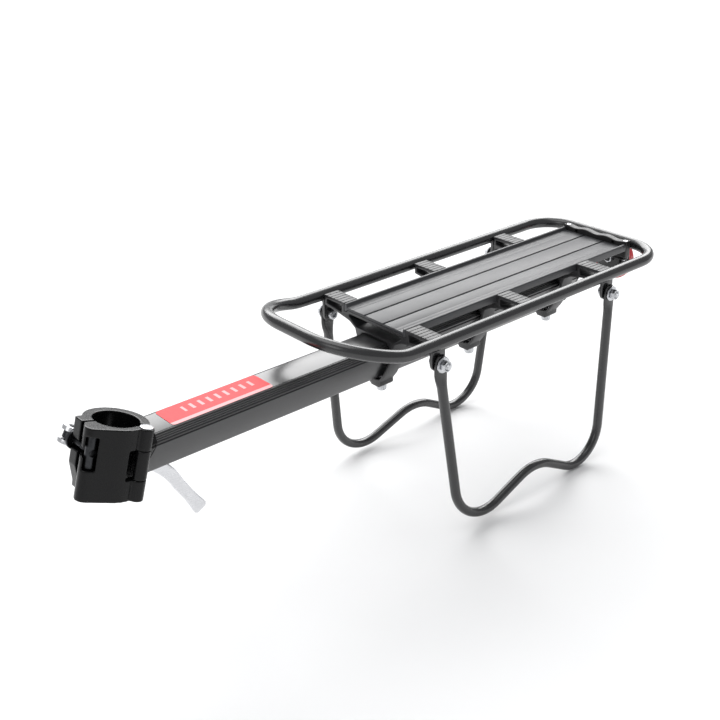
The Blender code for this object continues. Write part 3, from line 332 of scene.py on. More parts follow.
# %% Zinc-plated steel
zinc, tree, shader = new_material("zinc_plated_steel", "#c9cbce", 0.3, metallic=1.0)
place = add(tree, "ShaderNodeTexCoord").outputs["Object"]
spots = add(tree, "ShaderNodeTexNoise", values={"Scale": grain_per_mm(1.3), "Detail": 4.0},
            links={"Vector": place})
tone = add(tree, "ShaderNodeMix", {"data_type": "RGBA"},
           {6: linear("#a4a6aa"), 7: linear("#e2e3e5")},
           {0: spots.outputs["Fac"]})
sheen = add(tree, "ShaderNodeMapRange", values={"To Min": 0.18, "To Max": 0.42},
            links={"Value": spots.outputs["Fac"]})
bump = add(tree, "ShaderNodeBump", values={"Strength": 0.15, "Distance": 0.03 * METRES},
           links={"Height": spots.outputs["Fac"]})
join_shader(tree, shader, tone.outputs[2], sheen.outputs["Result"], bump.outputs["Normal"])
print("zinc:", zinc.name)

# %% [markdown]
# The trunnion, its bolt, the washer and the lever's pin sit inside the collar. They are steel
# with a black oxide, which is a dark, oily metal with a soft sheen.

# %% Black oxide steel
blackened, tree, shader = new_material("black_oxide_steel", "#3a3b3d", 0.35, metallic=1.0)
place = add(tree, "ShaderNodeTexCoord").outputs["Object"]
oil = add(tree, "ShaderNodeTexNoise", values={"Scale": grain_per_mm(2.5), "Detail": 3.0},
          links={"Vector": place})
tone = add(tree, "ShaderNodeMix", {"data_type": "RGBA"},
           {6: linear("#2b2c2e"), 7: linear("#4a4b4d")},
           {0: oil.outputs["Fac"]})
sheen = add(tree, "ShaderNodeMapRange", values={"To Min": 0.25, "To Max": 0.45},
            links={"Value": oil.outputs["Fac"]})
join_shader(tree, shader, tone.outputs[2], sheen.outputs["Result"])
print("oxide:", blackened.name)

# %% [markdown]
# The lever is aluminium, polished along its length. Polishing leaves fine scratches that
# spread highlights across it, so a noise stretched twenty times along X drives its roughness.

# %% Polished aluminium
polished, tree, shader = new_material("polished_aluminium", "#dcdde0", 0.22, metallic=1.0)
place = add(tree, "ShaderNodeTexCoord").outputs["Object"]
stretch = add(tree, "ShaderNodeMapping", values={"Scale": (1 / 20, 1, 1)}, links={"Vector": place})
scratches = add(tree, "ShaderNodeTexNoise", values={"Scale": grain_per_mm(0.6), "Detail": 3.0},
                links={"Vector": stretch.outputs["Vector"]})
tone = add(tree, "ShaderNodeMix", {"data_type": "RGBA"},
           {6: linear("#cfd0d3"), 7: linear("#efeff1")},
           {0: scratches.outputs["Fac"]})
sheen = add(tree, "ShaderNodeMapRange", values={"To Min": 0.16, "To Max": 0.34},
            links={"Value": scratches.outputs["Fac"]})
bump = add(tree, "ShaderNodeBump", values={"Strength": 0.1, "Distance": 0.02 * METRES},
           links={"Height": scratches.outputs["Fac"]})
join_shader(tree, shader, tone.outputs[2], sheen.outputs["Result"], bump.outputs["Normal"])
print("polish:", polished.name)

# %% [markdown]
# The end piece, the beam's cap and the reflector's back are moulded ABS with a spark-eroded
# grain. The grain is a little over half a millimetre and makes the plastic duller than metal.

# %% Moulded ABS
abs_black, tree, shader = new_material("moulded_abs_black", "#101011", 0.45, ior=1.54)
place = add(tree, "ShaderNodeTexCoord").outputs["Object"]
erosion = add(tree, "ShaderNodeTexVoronoi", values={"Scale": grain_per_mm(0.7)},
              links={"Vector": place})
flow = add(tree, "ShaderNodeTexNoise", values={"Scale": grain_per_mm(12), "Detail": 2.0},
           links={"Vector": place})
tone = add(tree, "ShaderNodeMix", {"data_type": "RGBA"},
           {6: linear("#0e0e0f"), 7: linear("#1a1a1b")},
           {0: flow.outputs["Fac"]})
sheen = add(tree, "ShaderNodeMapRange", values={"To Min": 0.36, "To Max": 0.5},
            links={"Value": flow.outputs["Fac"]})
bump = add(tree, "ShaderNodeBump", values={"Strength": 0.3, "Distance": 0.05 * METRES},
           links={"Height": erosion.outputs["Distance"]})
join_shader(tree, shader, tone.outputs[2], sheen.outputs["Result"], bump.outputs["Normal"])
print("plastic:", abs_black.name)

# %% [markdown]
# The bracket is steel strip under black enamel. Enamel is glassy, with the faint dimples that
# painters call orange peel, about two millimetres apart.

# %% Enamelled steel
enamel, tree, shader = new_material("enamelled_steel_black", "#0e0e0f", 0.25, ior=1.5)
place = add(tree, "ShaderNodeTexCoord").outputs["Object"]
peel = add(tree, "ShaderNodeTexNoise", values={"Scale": grain_per_mm(2.0), "Detail": 1.0},
           links={"Vector": place})
tone = add(tree, "ShaderNodeMix", {"data_type": "RGBA"},
           {6: linear("#0c0c0d"), 7: linear("#161617")},
           {0: peel.outputs["Fac"]})
sheen = add(tree, "ShaderNodeMapRange", values={"To Min": 0.2, "To Max": 0.3},
            links={"Value": peel.outputs["Fac"]})
bump = add(tree, "ShaderNodeBump", values={"Strength": 0.15, "Distance": 0.06 * METRES},
           links={"Height": peel.outputs["Fac"]})
join_shader(tree, shader, tone.outputs[2], sheen.outputs["Result"], bump.outputs["Normal"])
print("enamel:", enamel.name)

# %% [markdown]
# The lens is clear red acrylic over moulded prisms. From outside it looks deep red with a
# glassy skin. A clear coat gives the skin, and the prisms themselves are geometry.

# %% Red acrylic
acrylic, tree, shader = new_material("red_acrylic", "#c3101c", 0.18, ior=1.49)
shader.inputs["Coat Weight"].default_value = 1.0
shader.inputs["Coat Roughness"].default_value = 0.05
place = add(tree, "ShaderNodeTexCoord").outputs["Object"]
depth = add(tree, "ShaderNodeTexNoise", values={"Scale": grain_per_mm(3.0), "Detail": 1.0},
            links={"Vector": place})
tone = add(tree, "ShaderNodeMix", {"data_type": "RGBA"},
           {6: linear("#a40d18"), 7: linear("#dc2230")},
           {0: depth.outputs["Fac"]})
join_shader(tree, shader, tone.outputs[2])
print("acrylic IOR:", round(shader.inputs["IOR"].default_value, 2))

# %% [markdown]
# The sticker on the beam is printed vinyl: a coral-red ground with a pale band along one edge
# and plain pale bars. It carries no words. The bars come from the sticker's own position along
# and across the beam, so they stay on it wherever it goes. The band and the field of the bars
# are given as shares of the sticker's length and width.

# %% Printed vinyl
VINYL_RED = "#f0484c"
VINYL_PALE = "#fbb4b6"
BAR_PITCH = 3.6
BAND = 0.16
BARS_MIDDLE, BARS_HALF = (0.56, 0.62), (0.36, 0.16)
vinyl, tree, shader = new_material("printed_vinyl", VINYL_RED, 0.5, ior=1.45)
shader.inputs["Specular IOR Level"].default_value = 0.25
place = add(tree, "ShaderNodeTexCoord").outputs["Generated"]
parts = add(tree, "ShaderNodeSeparateXYZ", links={"Vector": place})
bars_per_label = (high("beam_label")[0] - low("beam_label")[0]) / BAR_PITCH
phase = add(tree, "ShaderNodeMath", {"operation": "MULTIPLY"}, {1: bars_per_label},
            {0: parts.outputs["X"]})
wave = add(tree, "ShaderNodeMath", {"operation": "PINGPONG"}, {1: 1.0}, {0: phase.outputs["Value"]})
bars = add(tree, "ShaderNodeMapRange", values={"From Min": 0.62, "From Max": 0.7},
           links={"Value": wave.outputs["Value"]})
inner = add(tree, "ShaderNodeMath", {"operation": "COMPARE"}, {1: BARS_MIDDLE[1], 2: BARS_HALF[1]},
            {0: parts.outputs["Y"]})
reach = add(tree, "ShaderNodeMath", {"operation": "COMPARE"}, {1: BARS_MIDDLE[0], 2: BARS_HALF[0]},
            {0: parts.outputs["X"]})
field = add(tree, "ShaderNodeMath", {"operation": "MULTIPLY"},
            links={0: inner.outputs["Value"], 1: reach.outputs["Value"]})
printed = add(tree, "ShaderNodeMath", {"operation": "MULTIPLY"},
              links={0: bars.outputs["Result"], 1: field.outputs["Value"]})
band = add(tree, "ShaderNodeMath", {"operation": "LESS_THAN"}, {1: BAND}, {0: parts.outputs["Y"]})
pale = add(tree, "ShaderNodeMath", {"operation": "MAXIMUM"},
           links={0: printed.outputs["Value"], 1: band.outputs["Value"]})
tone = add(tree, "ShaderNodeMix", {"data_type": "RGBA"},
           {6: linear(VINYL_RED), 7: linear(VINYL_PALE)},
           {0: pale.outputs["Value"]})
film = add(tree, "ShaderNodeTexNoise", values={"Scale": grain_per_mm(6.0), "Detail": 2.0},
           links={"Vector": add(tree, "ShaderNodeTexCoord").outputs["Object"]})
bump = add(tree, "ShaderNodeBump", values={"Strength": 0.1, "Distance": 0.05 * METRES},
           links={"Height": film.outputs["Fac"]})
join_shader(tree, shader, tone.outputs[2], normal=bump.outputs["Normal"])
print("bars on the sticker:", round(bars_per_label * BARS_HALF[0]))

# %% [markdown]
# ## Tools for making pieces
# Most of the rack is extruded or bent, so three tools make nearly all of it: a prism with
# rounded ends, a turned shape and a tube swept along a path. A fourth cuts or joins shapes.
# Each works in millimetres and gives a bmesh, and one function turns it into a named piece.

# %% Finishing a piece
SMOOTH_ANGLE = math.radians(38)
SAME_POINT = 0.0005


def finished(shape, name, material, body, slot, *replaces):
    """Turn a bmesh into a named piece in metres that moves with a body of the rack."""
    bmesh.ops.remove_doubles(shape, verts=shape.verts, dist=SAME_POINT)
    bmesh.ops.recalc_face_normals(shape, faces=shape.faces)
    bmesh.ops.scale(shape, vec=(METRES, METRES, METRES), verts=shape.verts)
    mesh = bpy.data.meshes.new(name)
    shape.to_mesh(mesh)
    shape.free()
    mesh.materials.append(material)
    mesh.shade_smooth()
    mesh.set_sharp_from_angle(angle=SMOOTH_ANGLE)
    piece = bpy.data.objects.new(name, mesh)
    scene.collection.objects.link(piece)
    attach(piece, body)
    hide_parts(*replaces)
    return piece


def fastener(shape, name, node, body="carriage", finish=zinc):
    """Finish a screw, nut, rivet, pin or washer of steel."""
    return finished(shape, name, finish, body, "zinc_steel", node)


def turned_to(direction):
    """Rotation that takes +Z to a direction."""
    return Vector(direction).to_track_quat("Z", "Y").to_matrix().to_4x4()


def moved(shape, matrix):
    bmesh.ops.transform(shape, matrix=matrix, verts=shape.verts)
    return shape


def united(*shapes):
    """Put several closed shapes in one bmesh, without cutting them."""
    whole = bmesh.new()
    for shape in shapes:
        mesh = bpy.data.meshes.new("part")
        shape.to_mesh(mesh)
        shape.free()
        whole.from_mesh(mesh)
        bpy.data.meshes.remove(mesh)
    return whole


print("edges sharper than", round(math.degrees(SMOOTH_ANGLE)), "degrees stay crisp")

# %% [markdown]
# A sawn extrusion has a rounded edge where its end was deburred. The prism tool draws each
# end as a few rings that step inwards, instead of using a Bevel, which tears where a cap has
# many corners. Outlines turn one way and holes the other, so that the same step always goes
# into the metal. A rounded corner is a curve that never takes more than CORNER_SHARE of the
# line beside it.

# %% Prisms with rounded ends
CORNER_SHARE = 0.42


def area(outline):
    return sum(a[0] * b[1] - b[0] * a[1] for a, b in zip(outline, outline[1:] + outline[:1])) / 2


def stepped_in(outline, amount):
    """Move each corner of an outline to its left, along the bisector."""
    moved_points = []
    for i, (x, y) in enumerate(outline):
        following = outline[(i + 1) % len(outline)]
        before = Vector((x - outline[i - 1][0], y - outline[i - 1][1])).normalized()
        after = Vector((following[0] - x, following[1] - y)).normalized()
        first, second = Vector((-before.y, before.x)), Vector((-after.y, after.x))
        bisector = (first + second) / max(0.35, 1 + first.dot(second))
        moved_points.append((x + bisector.x * amount, y + bisector.y * amount))
    return moved_points


def rounded_corner(corner, incoming, outgoing, reach, steps):
    """Points of a curve that leaves and rejoins the two lines at a reach from their corner."""
    start, end = corner - incoming.normalized() * reach, corner + outgoing.normalized() * reach
    shares = [k / steps for k in range(steps + 1)]
    return [tuple(start * (1 - t) ** 2 + corner * 2 * t * (1 - t) + end * t ** 2) for t in shares]


def softened(outline, radius, steps=3, least=math.radians(18)):
    """Round the corners of an outline that turn by more than the least angle."""
    points = []
    count = len(outline)
    for i in range(count):
        before, corner, after = (Vector(outline[(i + k) % count]) for k in (-1, 0, 1))
        incoming, outgoing = corner - before, after - corner
        turn = incoming.angle(outgoing, 0.0)
        if turn < least:
            points.append(tuple(corner))
            continue
        reach = min(radius * math.tan(turn / 2), CORNER_SHARE * incoming.length,
                    CORNER_SHARE * outgoing.length)
        points += rounded_corner(corner, incoming, outgoing, reach, steps)
    return points


ACROSS = Matrix(((0, 0, 1, 0), (1, 0, 0, 0), (0, 1, 0, 0), (0, 0, 0, 1)))


def prism(outline, length, holes=(), edge=0.4, steps=2):
    """Extrude an outline with holes from z = 0, with rounded ends."""
    loops = [outline if area(outline) > 0 else outline[::-1]]
    loops += [hole if area(hole) < 0 else hole[::-1] for hole in holes]
    shape = bmesh.new()
    levels = []
    for k in range(steps + 1):
        angle = math.pi / 2 * k / steps
        levels.append((edge * (1 - math.cos(angle)), edge * (1 - math.sin(angle))))
    levels += [(length - height, inset) for height, inset in reversed(levels)]
    rings = []
    for height, inset in levels:
        stepped = [stepped_in(loop, inset) for loop in loops]
        rings.append([[shape.verts.new((x, y, height)) for x, y in loop] for loop in stepped])
    for below, above in zip(rings, rings[1:]):
        for first, second in zip(below, above):
            count = len(first)
            for i in range(count):
                j = (i + 1) % count
                shape.faces.new((first[i], first[j], second[j], second[i]))
    for ring in (rings[0], rings[-1]):
        flat = [vert for loop in ring for vert in loop]
        for triangle in tessellate_polygon([[vert.co for vert in loop] for loop in ring]):
            shape.faces.new([flat[i] for i in triangle])
    return shape


def along_x(outline, start, length, holes=(), edge=0.4, steps=2):
    """A prism along +X from a section drawn in y and z."""
    placed = Matrix.Translation((start, 0, 0)) @ ACROSS
    return moved(prism(outline, length, holes, edge, steps), placed)


def mirrored(half):
    """Close a half outline, given from top to bottom at y >= 0."""
    if half[0][1] == half[1][1]:
        half = half[1:]
    if half[-1][1] == half[-2][1]:
        half = half[:-1]
    return half + [(-y, z) for y, z in reversed(half) if y > 0]


def arc(centre, radius, start, end, steps):
    """Points of an arc; angles in degrees."""
    points = []
    for i in range(steps + 1):
        angle = math.radians(start + (end - start) * i / steps)
        points.append((centre[0] + radius * math.cos(angle), centre[1] + radius * math.sin(angle)))
    return points


unit_square = [(0, 0), (1, 0), (1, 1), (0, 1)]
print("a unit square prism has", len(prism(unit_square, 1, edge=0.1).faces), "faces")

# %% [markdown]
# Turned pieces such as screw heads come from a profile that is spun about an axis. A swept
# tube is a ring carried along a path. The ring keeps one direction level, so that flattened
# tube ends lie the right way and nothing twists.

# %% Turned pieces and swept tubes
def circle(shape, radius, height, sides):
    """Add a ring of points about the Z axis."""
    turns = [2 * math.pi * k / sides for k in range(sides)]
    return [shape.verts.new((radius * math.cos(t), radius * math.sin(t), height)) for t in turns]


def skinned(shape, rings, closed=False):
    """Join rings that have equal numbers of points with four-sided faces."""
    for first, second in zip(rings, rings[1:] + rings[:1] if closed else rings[1:]):
        for k in range(len(first)):
            j = (k + 1) % len(first)
            shape.faces.new((first[k], first[j], second[j], second[k]))


def turned(profile, base, direction, sides=48):
    """Spin a profile of (radius, height) points; it starts and ends on the axis."""
    shape = bmesh.new()
    rings = []
    for radius, height in profile:
        if radius < 1e-6:
            rings.append([shape.verts.new((0, 0, height))])
            continue
        rings.append(circle(shape, radius, height, sides))
    for first, second in zip(rings, rings[1:]):
        for k in range(sides):
            j = (k + 1) % sides
            unique = list(dict.fromkeys((first[k % len(first)], first[j % len(first)],
                                         second[j % len(second)], second[k % len(second)])))
            if len(unique) > 2:
                shape.faces.new(unique)
    return moved(shape, Matrix.Translation(base) @ turned_to(direction))


def eased(profile, radius, steps=3):
    """Round the corners of an open profile, keeping its two ends."""
    points = [profile[0]]
    for before, corner, after in zip(profile, profile[1:], profile[2:]):
        before, corner, after = Vector(before), Vector(corner), Vector(after)
        incoming, outgoing = corner - before, after - corner
        reach = min(radius, CORNER_SHARE * incoming.length, CORNER_SHARE * outgoing.length)
        points += rounded_corner(corner, incoming, outgoing, reach, steps)
    return points + [profile[-1]]


def rounded_path(corners, bends, step=math.radians(4)):
    """Straight runs joined by arcs of the given radii."""
    path = [Vector(corners[0])]
    for i, radius in enumerate(bends, start=1):
        before, corner, after = (Vector(corners[i + k]) for k in (-1, 0, 1))
        incoming = (corner - before).normalized()
        outgoing = (after - corner).normalized()
        turn = incoming.angle(outgoing)
        start = corner - incoming * radius * math.tan(turn / 2)
        inward = (outgoing - incoming * incoming.dot(outgoing)).normalized()
        centre = start + inward * radius
        count = max(2, round(turn / step))
        for k in range(count + 1):
            angle = turn * k / count
            path.append(centre - inward * radius * math.cos(angle)
                        + incoming * radius * math.sin(angle))
    path.append(Vector(corners[-1]))
    return path


def evenly(points, spacing, closed=False):
    """Add points to a path, so that its rings stand about a spacing apart."""
    path = []
    for point, following in zip(points, points[1:] + points[:1] if closed else points[1:]):
        pieces = max(1, round((following - point).length / spacing))
        path += [point.lerp(following, k / pieces) for k in range(pieces)]
    return path if closed else path + [points[-1].copy()]


def swept(path, level, sizes, sides=36, squareness=2.0, closed=False):
    """Carry a ring along a path; sizes holds its half width along level and across it."""
    shape = bmesh.new()
    rings = []
    count = len(path)
    for i, point in enumerate(path):
        if closed:
            along = path[(i + 1) % count] - path[i - 1]
        else:
            along = path[min(i + 1, count - 1)] - path[max(i - 1, 0)]
        across = along.cross(level).normalized()
        flat = across.cross(along).normalized()
        ring = []
        for k in range(sides):
            angle = 2 * math.pi * (k + 0.5) / sides
            parts = [math.copysign(abs(v) ** (2 / squareness), v)
                     for v in (math.cos(angle), math.sin(angle))]
            ring.append(shape.verts.new(point + flat * sizes[i][0] * parts[0]
                                        + across * sizes[i][1] * parts[1]))
        rings.append(ring)
    skinned(shape, rings, closed)
    if not closed:
        shape.faces.new(rings[0])
        shape.faces.new(rings[-1])
    return shape


# %% Cutting and joining
CRISP = 0.01


def stored(shape, name):
    """Put a bmesh in an object for a while, so that modifiers can work on it."""
    mesh = bpy.data.meshes.new(name)
    bmesh.ops.recalc_face_normals(shape, faces=shape.faces)
    shape.to_mesh(mesh)
    shape.free()
    holder = bpy.data.objects.new(name, mesh)
    scene.collection.objects.link(holder)
    return holder


def modified(holder, *helpers):
    """The shape that an object's modifiers give; the object and its helpers are then removed."""
    bpy.context.view_layer.update()
    result = bmesh.new()
    result.from_mesh(holder.evaluated_get(bpy.context.evaluated_depsgraph_get()).to_mesh())
    for used in (holder, *helpers):
        mesh = used.data
        bpy.data.objects.remove(used)
        bpy.data.meshes.remove(mesh)
    return result


def combined(base, tools, operation):
    """Boolean of a bmesh with several others, one after another."""
    holder = stored(base, "base")
    helpers = [stored(tool, "tool") for tool in tools]
    for helper in helpers:
        modifier = holder.modifiers.new("combine", "BOOLEAN")
        modifier.operation = operation
        modifier.object = helper
    return modified(holder, *helpers)


def rod(start, end, radius, sides=48):
    start, end = Vector(start), Vector(end)
    height = (end - start).length
    return turned([(0, 0), (radius, 0), (radius, height), (0, height)], start, end - start, sides)


def block(corner, opposite):
    shape = bmesh.new()
    bmesh.ops.create_cube(shape, size=1.0)
    corner, opposite = Vector(corner), Vector(opposite)
    size = opposite - corner
    return moved(shape, Matrix.Translation((corner + opposite) / 2) @ Matrix.Diagonal((*size, 1)))


def hexagon(base, direction, across_flats, height):
    outline = arc((0, 0), across_flats / math.sqrt(3), 0, 300, 5)
    placed = Matrix.Translation(base) @ turned_to(direction)
    return moved(prism(outline, height, edge=CRISP, steps=1), placed)


print("tools ready, crisp edges are rounded by", CRISP, "mm")

# %% [markdown]
# ## The beam
# The beam is one hollow extrusion, shaped like a boat's hull: a flat top, ridged shoulders, a
# groove under each shoulder and deep sides that lean in to a narrow keel. Its front end is cut
# at the collar's slant. The section is drawn once and extruded.

# %% Beam, cap and sticker
GAP = 0.3
SEAT_TILT = math.radians(17.0)
LABEL_ROUND = 3.0
BEAM_START, BEAM_END = low("beam")[0], high("beam")[0]
BEAM_TOP, BEAM_BOTTOM = high("beam")[2], low("beam")[2]
FLAT_HALF, BEAM_HALF, FOOT_HALF = 13.5, high("beam")[1], 4.6
SHOULDER = BEAM_TOP - 4.2
BEAM_FRONT = BEAM_START - BEAM_BOTTOM * math.tan(SEAT_TILT)


def beam_section(ridges=4):
    """Half of the beam's outline from the top down."""
    half = [(0, BEAM_TOP), (FLAT_HALF - 1.2, BEAM_TOP), (FLAT_HALF - 0.9, BEAM_TOP - 0.35)]
    half += [(FLAT_HALF - 0.5, BEAM_TOP - 0.35), (FLAT_HALF - 0.2, BEAM_TOP - 0.05)]
    run, drop = BEAM_HALF - 0.4 - FLAT_HALF, BEAM_TOP - SHOULDER
    for i in range(ridges):
        for share, depth in ((0.15, 0.0), (0.6, 0.05), (0.74, 0.6), (0.9, 0.6)):
            place = (i + share) / ridges
            half.append((FLAT_HALF + run * place - 0.6 * depth, BEAM_TOP - drop * place - depth))
    half += [(BEAM_HALF, SHOULDER), (BEAM_HALF, SHOULDER - 1.0), (BEAM_HALF - 1.3, SHOULDER - 1.4)]
    half += [(BEAM_HALF - 1.3, SHOULDER - 2.3), (BEAM_HALF - 0.3, SHOULDER - 2.8)]
    half += [(FOOT_HALF + 0.5, BEAM_BOTTOM + 2.4), (FOOT_HALF - 0.8, BEAM_BOTTOM + 0.6)]
    return half + [(1.6, BEAM_BOTTOM), (0, BEAM_BOTTOM)]


beam_outline = softened(mirrored(beam_section()), 0.8, steps=2)
shape = along_x(beam_outline, BEAM_FRONT, BEAM_END - BEAM_FRONT, edge=0.35)
for vert in shape.verts:
    if vert.co.x < BEAM_FRONT + 1.0:
        vert.co.x += vert.co.z * math.tan(SEAT_TILT)
finished(shape, "beam_extrusion", drawn, "beam_assembly", "black_anodised", "beam")

cap_start = BEAM_END + GAP
cap_outline = softened(mirrored(beam_section(ridges=0)), 1.2)
cap_face = along_x(cap_outline, cap_start, high("beam_end_cap")[0] - cap_start, edge=1.0, steps=4)
finished(cap_face, "beam_cap", abs_black, "beam_assembly", "black_plastic", "beam_end_cap")

label_low, label_high = low("beam_label"), high("beam_label")
label_corners = [(label_low[0], label_low[1]), (label_high[0], label_low[1]),
                 (label_high[0], label_high[1]), (label_low[0], label_high[1])]
label_outline = softened(label_corners, LABEL_ROUND, steps=6)
shape = moved(prism(label_outline, label_high[2] - label_low[2], edge=0.06, steps=1),
              Matrix.Translation((0, 0, label_low[2])))
finished(shape, "beam_sticker", vinyl, "beam_assembly", "sticker", "beam_label")
print("beam length:", round(BEAM_END - BEAM_FRONT, 1), "mm")

# %% [markdown]
# ## The collar
# The collar is two castings hinged at one side: a rear half that carries the beam, and a jaw.
# Both follow the same seatpost, so they are modelled upright about its axis and then leaned by
# 17 degrees. SCREW and SCREW_HOLE are the radii of a 5 mm screw and of the hole for it. Cutting
# leaves knife edges, but a casting has soft ones. So each half is remeshed to small even cells
# and relaxed, which rounds every corner by about a millimetre.

# %% Sizes of the collar
LEAN = Matrix.Rotation(SEAT_TILT, 4, "Y")
BORE = 15.9
JAW_OUTER, BODY_OUTER = BORE + 5.6, BORE + 6.6
COLLAR_HALF = 26.0
SPLIT = 1.0
KNUCKLE, KNUCKLE_HALF = 5.5, 10.5
HINGE = (12.5, -(BORE + KNUCKLE - 2.9))
BOLT_FORWARD, BOLT_RADIUS, BOLT_LEVEL = BORE + 5.1, 2.5, 8.0
TRUNNION, TRUNNION_HALF, TRUNNION_SET = 4.0, 11.5, 9.0
FIN_END, FIN_TIP = SPLIT + 9.7, -(BOLT_FORWARD + 4.0)
SCREW, SCREW_HOLE = 2.5, 2.8
CAM_WASHER, WASHER_SEAT, CAM_ROOM = 2.2, 8.7, 11.0
CELL = 0.55


def upright(centre, radius, bottom, top, sides=72):
    return rod((centre[0], centre[1], bottom), (centre[0], centre[1], top), radius, sides)


def slab(outline, bottom, top):
    placed = Matrix.Translation((0, 0, bottom))
    return moved(prism(outline, top - bottom, edge=CRISP, steps=1), placed)


def hull(points):
    """Smallest convex outline round the points."""
    ordered = sorted(set(points))
    outline = []
    for run in (ordered, ordered[::-1]):
        start = len(outline)
        for point in run:
            while len(outline) - start >= 2:
                (ax, ay), (bx, by) = outline[-2:]
                if (bx - ax) * (point[1] - ay) - (by - ay) * (point[0] - ax) > 0:
                    break
                outline.pop()
            outline.append(point)
        outline.pop()
    return outline


def cast_in_sand(shape, cell=CELL, rounds=5):
    """Remesh a carved shape to even cells and relax it, so that its corners turn soft."""
    holder = stored(shape, "casting")
    remesh = holder.modifiers.new("cells", "REMESH")
    remesh.mode = "VOXEL"
    remesh.voxel_size = cell
    remesh.adaptivity = 0.0
    relax = holder.modifiers.new("relax", "SMOOTH")
    relax.factor = 0.5
    relax.iterations = rounds
    return modified(holder)


print("seatpost bore:", 2 * BORE, "mm, collar height:", 2 * COLLAR_HALF, "mm")

# %% Rear half of the collar
fin_far = math.degrees(math.asin(FIN_END / BODY_OUTER))
fin_near = math.degrees(math.asin(SPLIT / BORE))
outline = arc((0, 0), BODY_OUTER, -38, 180 - fin_far, 60)
reach = FIN_END + TRUNNION_SET
swept_back = math.degrees(math.asin((-FIN_TIP - BOLT_FORWARD) / reach))
outline += arc((-BOLT_FORWARD, -TRUNNION_SET), reach, 90, 90 + swept_back, 8) + [(FIN_TIP, SPLIT)]
outline += arc((0, 0), BORE, 180 - fin_near, -38, 60)
shape = slab(outline, -COLLAR_HALF, COLLAR_HALF)
arm = block((HINGE[0] - 1.5, HINGE[1], -KNUCKLE_HALF),
            (HINGE[0] + KNUCKLE, -BORE + 5.5, KNUCKLE_HALF))
knuckle = upright(HINGE, KNUCKLE, -KNUCKLE_HALF, KNUCKLE_HALF)
flange_start = BORE + 2.5
flange = along_x(mirrored(beam_section(ridges=0)), flange_start,
                 BEAM_FRONT - GAP - flange_start, edge=CRISP, steps=1)
for vert in flange.verts:
    vert.co.x += vert.co.z * math.tan(SEAT_TILT)
shape = combined(shape, [arm, knuckle, moved(flange, LEAN.inverted())], "UNION")
chin = [(FIN_TIP - 9, -6), (FIN_TIP, -6), (FIN_TIP + 7, -COLLAR_HALF),
        (FIN_TIP + 7, -COLLAR_HALF - 9), (FIN_TIP - 9, -COLLAR_HALF - 9)]
chin_cut = moved(prism(chin, 4 * FIN_END, edge=CRISP, steps=1),
                 Matrix.Translation((0, 3 * FIN_END, 0)) @ Matrix.Rotation(math.pi / 2, 4, "X"))
cam_line = [Vector((-BOLT_FORWARD, y, BOLT_LEVEL))
            for y in (FIN_END, FIN_END + CAM_WASHER, BODY_OUTER + 9)]
cutters = [upright((0, 0), BORE, -COLLAR_HALF - 12, COLLAR_HALF + 12, 96),
           upright(HINGE, SCREW_HOLE, -COLLAR_HALF, COLLAR_HALF, 32),
           upright(HINGE, KNUCKLE + 0.8, KNUCKLE_HALF, COLLAR_HALF + 1),
           upright(HINGE, KNUCKLE + 0.8, -COLLAR_HALF - 1, -KNUCKLE_HALF),
           block((FIN_TIP - 5, SPLIT - 5, BOLT_LEVEL - 3.6),
                 (-(BOLT_FORWARD - BOLT_RADIUS - 1.6), FIN_END + 5, BOLT_LEVEL + 3.6)), chin_cut,
           rod(cam_line[0], cam_line[2], WASHER_SEAT), rod(cam_line[1], cam_line[2], CAM_ROOM)]
shape = moved(cast_in_sand(combined(shape, cutters, "DIFFERENCE")), LEAN)
collar_rear = finished(shape, "collar_rear", cast, "beam_assembly", "cast_clamp", "clamp_body")
print("rear half has", len(collar_rear.data.vertices), "points")

# %% The jaw
split_out = math.degrees(math.asin(SPLIT / JAW_OUTER))
split_in = math.degrees(math.asin(SPLIT / BORE))
outline = arc((0, 0), JAW_OUTER, -62, -180 + split_out, 50)
outline += arc((0, 0), BORE, -180 + split_in, -62, 50)
shape = slab(outline, -COLLAR_HALF, COLLAR_HALF)
trunnion = (-BOLT_FORWARD, -TRUNNION_SET)
wrapped = arc((0, 0), JAW_OUTER, -110, -180 + split_out, 30)
wrapped += arc(trunnion, TRUNNION + 2.6, 0, 350, 35)
wrapped += [(FIN_TIP, -SPLIT - 2.0), (FIN_TIP + 1.0, -SPLIT)]
below_split = [point for point in wrapped if point[1] <= -SPLIT + 1e-6]
fairing = slab(hull(below_split), -COLLAR_HALF, COLLAR_HALF)
shape = combined(shape, [fairing, upright(HINGE, KNUCKLE, -COLLAR_HALF, COLLAR_HALF)], "UNION")
room = TRUNNION + GAP
facing = math.radians(30)
away = Vector((-math.sin(facing), -math.cos(facing))) * 40
outline = arc(trunnion, room, -30, 150, 24)
outline += [tuple(Vector(outline[-1]) + away), tuple(Vector(outline[0]) + away)]
pocket = slab(outline, BOLT_LEVEL - TRUNNION_HALF - GAP, BOLT_LEVEL + TRUNNION_HALF + GAP)
clear, slot = KNUCKLE_HALF + GAP, BOLT_RADIUS + 0.6
cutters = [block((-60, -SPLIT, -COLLAR_HALF - 1), (60, 60, COLLAR_HALF + 1)),
           upright((0, 0), BORE, -COLLAR_HALF - 1, COLLAR_HALF + 1, 96),
           block((1.0, HINGE[1] - 2 * KNUCKLE, -clear), (HINGE[0] + 2 * KNUCKLE, 0, clear)),
           upright(HINGE, SCREW_HOLE, -COLLAR_HALF - 1, COLLAR_HALF + 1, 32), pocket,
           block((-60, trunnion[1] - slot, BOLT_LEVEL - slot),
                 (trunnion[0] + slot, 9, BOLT_LEVEL + slot))]
shape = moved(cast_in_sand(combined(shape, cutters, "DIFFERENCE")), LEAN)
jaw = finished(shape, "collar_jaw", cast, "clamp_jaw", "cast_clamp", "clamp_jaw")
print("jaw has", len(jaw.data.vertices), "points")

